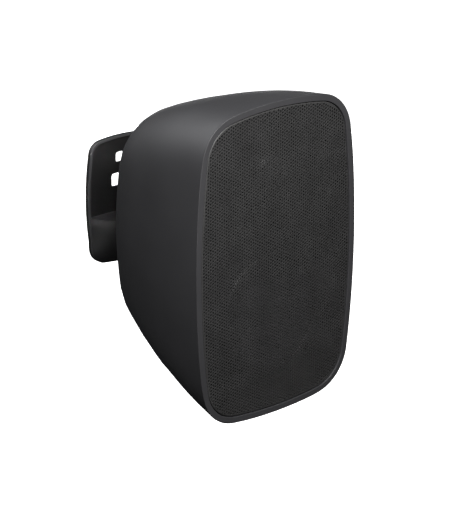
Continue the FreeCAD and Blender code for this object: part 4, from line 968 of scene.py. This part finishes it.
def flexing_ring(name, material, moving):
    """A copy of a ring that bends: its outer flat stays on the cabinet, its inner one goes with the body
    that moves."""
    ring = bpy.data.objects.new(f"{name}_flexing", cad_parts[name].data.copy())
    ring.data.materials.clear()
    ring.data.materials.append(material)
    bpy.context.scene.collection.objects.link(ring)
    low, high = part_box(name)
    middle = (low + high) / 2
    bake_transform(ring, "cabinet", moving, start=(high.x, middle.y, middle.z), end=middle)
    reach = [math.hypot(v.co.x - middle.x, v.co.z - middle.z) for v in ring.data.vertices]
    outer_seat, inner_seat = RING_SEATS[name]
    still = max(reach) - outer_seat
    moved = min(reach) + inner_seat
    # A blend runs along one line; on this ring it has to run inwards all round
    for weight, radius in zip(ring.data.attributes["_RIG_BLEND"].data, reach):
        share = min(1.0, max(0.0, (still - radius) / (still - moved)))
        weight.value = share * share * (3 - 2 * share)
    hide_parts(name)


class LOUDSPEAKER_OT_drivers(Operator):
    """Woofer and tweeter"""

    bl_idname = "loudspeaker.drivers"
    bl_label = "Drivers"

    def execute(self, context):
        finish(powder_coat("Stove-enamelled steel", linear("#232325"), (0.45, 0.55)), "woofer_basket")
        finish(pulp_paper(), "woofer_cone", "woofer_dust_cap")
        flexing_ring("woofer_surround", nitrile_rubber(), "woofer_cone")
        flexing_ring("woofer_spider", resin_cloth(), "woofer_cone")
        finish(sintered_ferrite(), "woofer_magnet", "tweeter_magnet")
        silk = coated_silk()
        finish(silk, "tweeter_dome")
        flexing_ring("tweeter_surround", silk, "tweeter_dome")
        finish(moulded_abs("Moulded ABS, faceplate", linear("#161617"), (0.7, 0.8)), "tweeter_faceplate",
               "woofer_tag_strip", "tweeter_tag_strip", "crossover_inductor")
        finish(copper_wire(), "woofer_voice_coil", "tweeter_voice_coil", "crossover_winding")
        return {"FINISHED"}


# Screws; their thread's pitch is a share of the shank's radius

FINE_PITCH = 0.5
COARSE_PITCH = 0.6


def two_places(name, head_radius, seat):
    """Left and right, half way up the box of a node."""
    low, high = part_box(name)
    return [(side * (high.x - head_radius), seat, (low.z + high.z) / 2) for side in (-1, 1)]


def corner_places(name, head_radius, seat, across):
    """The corners of an oblong as high as the box of a node allows."""
    low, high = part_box(name)
    middle = (low.z + high.z) / 2
    rise = (high.z - low.z) / 2 - head_radius
    return [(sx * across, seat, middle + sz * rise) for sx in (-1, 1) for sz in (-1, 1)]


def four_places(name, head_radius, seat):
    """The corners of the square or oblong that a group of four screws stands on."""
    return corner_places(name, head_radius, seat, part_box(name)[1].x - head_radius)


def six_places(name, head_radius, seat):
    """Two at the widest part of the sides, and four nearer the middle at the corners."""
    return two_places(name, head_radius, seat) + corner_places(name, head_radius, seat, sizes().corner_screw)


class LOUDSPEAKER_OT_screws(Operator):
    """Cross-head screws of the drivers, hinge, terminals, crossover and baffle"""

    bl_idname = "loudspeaker.screws"
    bl_label = "Screws"

    def execute(self, context):
        black = (black_oxide_steel(), "black_screw_steel")
        zinc = (plated_steel("Zinc-plated steel, screws", 2.0), "plated_steel")
        self.group("woofer_screws", "driver", four_places, FORWARD, FINE_PITCH, *black)
        self.group("tweeter_screws", "driver", four_places, FORWARD, FINE_PITCH, *black)
        self.group("hinge_screws", "hinge", four_places, BACKWARD, FINE_PITCH, *zinc)
        self.group("terminal_screws", "terminal", two_places, BACKWARD, FINE_PITCH, *zinc)
        self.group("crossover_screws", "board", two_places, FORWARD, FINE_PITCH, *zinc)
        self.group("baffle_screws", "baffle", six_places, FORWARD, COARSE_PITCH, *black)
        return {"FINISHED"}

    def group(self, name, kind, places, axis, pitch, material, slot):
        """Like screws at their places, joined into the one piece that stands for their node."""
        size = sizes()
        head = getattr(size, f"{kind}_head")
        tall = getattr(size, f"{kind}_head_height")
        shank = getattr(size, f"{kind}_shank")
        low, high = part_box(name)
        seat = low.y + tall if axis == FORWARD else high.y - tall
        length = high.y - seat if axis == FORWARD else seat - low.y
        shape = cross_screw(head, tall, shank, length, shank * pitch)
        solid = Solid()
        for place in places(name, head, seat):
            solid.lay(*shape, place, axis)
        new_piece(f"{name}_cross_head", solid.vertices, solid.faces, material, "cabinet", name)


# Terminals

class LOUDSPEAKER_OT_terminals(Operator):
    """Terminal cup, wire levers, crossover and leads"""

    bl_idname = "loudspeaker.terminals"
    bl_label = "Terminals"

    def execute(self, context):
        black = moulded_abs("Moulded ABS, satin black", linear("#1d1d1f"), (0.42, 0.5))
        red = moulded_abs("Moulded ABS, red gloss", colours().lever_red, (0.25, 0.32), 1.2, 0.01)
        edge = sizes().edge
        eased("terminal_cup", black, "cabinet", edge)
        eased("terminal_lever_left", black, "lever_left", edge)
        eased("terminal_lever_right", red, "lever_right", edge)
        finish(tinned_brass(), "terminal_contacts")
        finish(phenolic_board(), "crossover_board")
        finish(film_wrap(), "crossover_capacitor")
        finish(cement_ceramic(), "crossover_resistor")
        finish(soft_pvc(), "woofer_lead", "tweeter_lead")
        return {"FINISHED"}


# Bracket; the pitch of a bolt's thread is a share of its shank's radius

PAN_PITCH = 0.31
TILT_PITCH = 0.33
RIM_FRONT = 4.5 * MM
# A face looks forward if its normal's Y is below the first value, and sideways if it is within the second
FACES_FRONT = -0.99
FACES_ROUND = 0.1


def on_rim(edge):
    """Whether an edge lies between the front of the bracket's rim and its outer wall."""
    middle = (edge.verts[0].co + edge.verts[1].co) / 2
    front = [face for face in edge.link_faces if face.normal.y < FACES_FRONT]
    wall = [face for face in edge.link_faces if abs(face.normal.y) < FACES_ROUND]
    return bool(front and wall) and middle.y < -RIM_FRONT and wall[0].normal.dot(middle) > 0


class LOUDSPEAKER_OT_bracket(Operator):
    """Wall bracket, swivel arm, hinge plate and their fasteners"""

    bl_idname = "loudspeaker.bracket"
    bl_label = "Bracket"

    def execute(self, context):
        cast = powder_coat("Powder-coated cast steel", linear("#222224"))
        size = sizes()
        eased("wall_bracket", bracket_abs_painted_light_shade(colours().bracket), "wall_mount", size.edge, on_rim,
              size.bracket_edge)
        eased("swivel_arm", cast, "swivel", size.edge)
        eased("hinge_plate", cast, "cabinet", size.edge)
        finish(natural_nylon(), "pan_washer", "tilt_washers")
        zinc = plated_steel()
        finish(zinc, "pan_top_washer", "hinge_backing_plate", "terminal_pin", "woofer_top_plate",
               "woofer_yoke", "tweeter_top_plate", "tweeter_yoke")
        low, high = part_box("pan_bolt")
        across = high.y - low.y
        pan = Vector((0.0, (low.y + high.y) / 2, low.z + size.pan_head))
        bolt = hex_bolt(across, size.pan_head, size.pan_shank, high.z - pan.z, size.pan_shank * PAN_PITCH)
        self.fastener("pan_bolt", bolt, pan, UP, zinc, "wall_mount")
        low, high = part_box("pan_nut")
        nut = hex_nut(across, high.z - low.z, size.pan_shank)
        self.fastener("pan_nut", nut, (pan.x, pan.y, low.z), UP, zinc, "wall_mount")
        low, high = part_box("tilt_bolt")
        across = min(high.y - low.y, high.z - low.z)
        tilt = Vector((low.x + size.tilt_head, (low.y + high.y) / 2, (low.z + high.z) / 2))
        bolt = hex_bolt(across, size.tilt_head, size.tilt_shank, high.x - tilt.x,
                        size.tilt_shank * TILT_PITCH)
        self.fastener("tilt_bolt", bolt, tilt, RIGHT, zinc, "cabinet")
        low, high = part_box("tilt_nut")
        nut = hex_nut(across, high.x - low.x, size.tilt_shank)
        self.fastener("tilt_nut", nut, (low.x, tilt.y, tilt.z), RIGHT, zinc, "cabinet")
        return {"FINISHED"}

    def fastener(self, name, shape, place, axis, material, body):
        solid = Solid()
        solid.lay(*shape, place, axis)
        new_piece(f"{name}_hex", solid.vertices, solid.faces, material, body, name)


# Stage

CAMERA_PLACE = Vector((-1271.81, -1611.57, 688.59)) * MM
CAMERA_FORWARD = Vector((0.6169, 0.7067, -0.3463))
CAMERA_LENS = 154.57
CAMERA_SENSOR = 36.0
AIR_LIGHT = 0.3
FLOOR_GLOW = 0.95
FLOOR_ROUGHNESS = 0.95
WHITE = (1.0, 1.0, 1.0)
SNOOT = "bracket_snoot"
SNOOT_SPREAD = math.radians(3)
CABINET_MIDDLE = (0.0, -0.14, 0.0)

# Area lights: places and sizes in metres, power in watts; one without an aim points at the cabinet's middle
LIGHTS = {
    "top_back_softbox": {"place": (-0.75, 1.35, 1.5), "width": 2.2, "height": 1.6, "power": 39.0,
                         "colour": (0.97, 0.98, 1.0)},
    "top_softbox": {"place": (0.1, -0.2, 1.7), "width": 1.6, "height": 1.6, "power": 7.0,
                    "colour": (0.9, 0.94, 1.0)},
    "left_key": {"place": (-0.22, -0.66, 0.5), "aim": (-0.03, -0.22, 0.08), "width": 0.4, "height": 0.4,
                 "power": 17.0, "colour": (1.0, 0.985, 0.98)},
    "left_fill": {"place": (-2.0, -0.7, -0.2), "width": 1.0, "height": 1.0, "power": 8.0},
    "right_fill": {"place": (1.1, -2.2, 0.6), "width": 1.4, "height": 1.4, "power": 5.0,
                   "colour": (1.0, 0.985, 0.97)},
    "right_side_fill": {"place": (1.9, 0.3, -0.2), "width": 1.0, "height": 1.0, "power": 16.0},
    "back_fill": {"place": (1.5, 1.5, -0.6), "width": 1.0, "height": 1.0, "power": 16.0},
    SNOOT: {"place": (-0.9, -0.13, 0.24), "aim": (-0.04, 0.0, 0.03), "width": 0.03, "height": 0.08,
            "power": 0.022},
}


def add_area_light(name, place, width, height, power, aim=CABINET_MIDDLE, colour=WHITE):
    light = bpy.data.lights.new(name, "AREA")
    light.shape = "RECTANGLE"
    light.size = width
    light.size_y = height
    light.energy = power
    light.color = colour
    thing = bpy.data.objects.new(name, light)
    thing.location = place
    thing.rotation_mode = "QUATERNION"
    thing.rotation_quaternion = (Vector(aim) - Vector(place)).to_track_quat("-Z", "Y")
    bpy.context.scene.collection.objects.link(thing)
    return light


class LOUDSPEAKER_OT_stage(Operator):
    """Pale floor, soft lights and the camera"""

    bl_idname = "loudspeaker.stage"
    bl_label = "Stage"

    def execute(self, context):
        self.lay_floor()
        lights = {name: add_area_light(name, **settings) for name, settings in LIGHTS.items()}
        lights[SNOOT].spread = SNOOT_SPREAD
        world = bpy.data.worlds.new("studio_air")
        context.scene.world = world
        world.use_nodes = True
        air = world.node_tree
        air.nodes["Background"].inputs["Color"].default_value = (*WHITE, 1.0)
        # White behind the part, dim as a light on it, and not to be seen in its gloss
        path = add_node(air, "ShaderNodeLightPath")
        dim = add_node(air, "ShaderNodeMapRange", {"To Min": AIR_LIGHT, "To Max": 1.0},
                       {"Value": path.outputs["Is Camera Ray"]})
        air.links.new(dim.outputs["Result"], air.nodes["Background"].inputs["Strength"])
        world.cycles_visibility.glossy = False
        lens = bpy.data.cameras.new("photo_camera")
        lens.lens = CAMERA_LENS
        lens.sensor_width = CAMERA_SENSOR
        camera = bpy.data.objects.new("photo_camera", lens)
        camera.location = CAMERA_PLACE
        camera.rotation_mode = "QUATERNION"
        camera.rotation_quaternion = CAMERA_FORWARD.to_track_quat("-Z", "Y")
        context.scene.collection.objects.link(camera)
        context.scene.camera = camera
        context.scene.view_settings.view_transform = "Standard"
        return {"FINISHED"}

    def lay_floor(self):
        size = sizes()
        half = size.floor_span / 2
        level = CAD_BOX[0].z - size.floor_drop
        mesh = bpy.data.meshes.new("studio_floor")
        mesh.from_pydata([(-half, -half, level), (half, -half, level), (half, half, level),
                          (-half, half, level)], [], [(0, 1, 2, 3)])
        floor = bpy.data.objects.new("studio_floor", mesh)
        bpy.context.scene.collection.objects.link(floor)
        paper, tree, shader = new_material("Matt background paper", colours().floor, FLOOR_ROUGHNESS)
        mesh.materials.append(paper)
        # The floor is only a backdrop: it throws no light on the part and doesn't show in its gloss
        floor.visible_glossy = False
        floor.visible_diffuse = False
        shader.inputs["Emission Color"].default_value = (*WHITE, 1.0)
        shader.inputs["Emission Strength"].default_value = FLOOR_GLOW


# Panel and registration

class LOUDSPEAKER_PT_panel(Panel):
    """Lists the steps that finish the loudspeaker"""

    bl_idname = "LOUDSPEAKER_PT_panel"
    bl_label = "Wall Loudspeaker"
    bl_space_type = "VIEW_3D"
    bl_region_type = "UI"
    bl_category = "Loudspeaker"

    def draw(self, context):
        for step in STEPS:
            self.layout.operator(step.bl_idname)
        for group in (sizes(), colours()):
            box = self.layout.box()
            for name in group.__annotations__:
                box.prop(group, name)


STEPS = (LOUDSPEAKER_OT_stage, LOUDSPEAKER_OT_cabinet, LOUDSPEAKER_OT_grille, LOUDSPEAKER_OT_drivers,
         LOUDSPEAKER_OT_terminals, LOUDSPEAKER_OT_screws, LOUDSPEAKER_OT_bracket)
CLASSES = (LoudspeakerSizes, LoudspeakerColours, *STEPS, LOUDSPEAKER_PT_panel)


def register():
    for item in CLASSES:
        bpy.utils.register_class(item)
    bpy.types.Scene.loudspeaker_sizes = PointerProperty(type=LoudspeakerSizes)
    bpy.types.Scene.loudspeaker_colours = PointerProperty(type=LoudspeakerColours)


def unregister():
    del bpy.types.Scene.loudspeaker_colours
    del bpy.types.Scene.loudspeaker_sizes
    for item in reversed(CLASSES):
        bpy.utils.unregister_class(item)


def main():
    register()
    for step in STEPS:
        family, name = step.bl_idname.split(".")
        getattr(getattr(bpy.ops, family), name)()


if __name__ == "__main__":
    main()
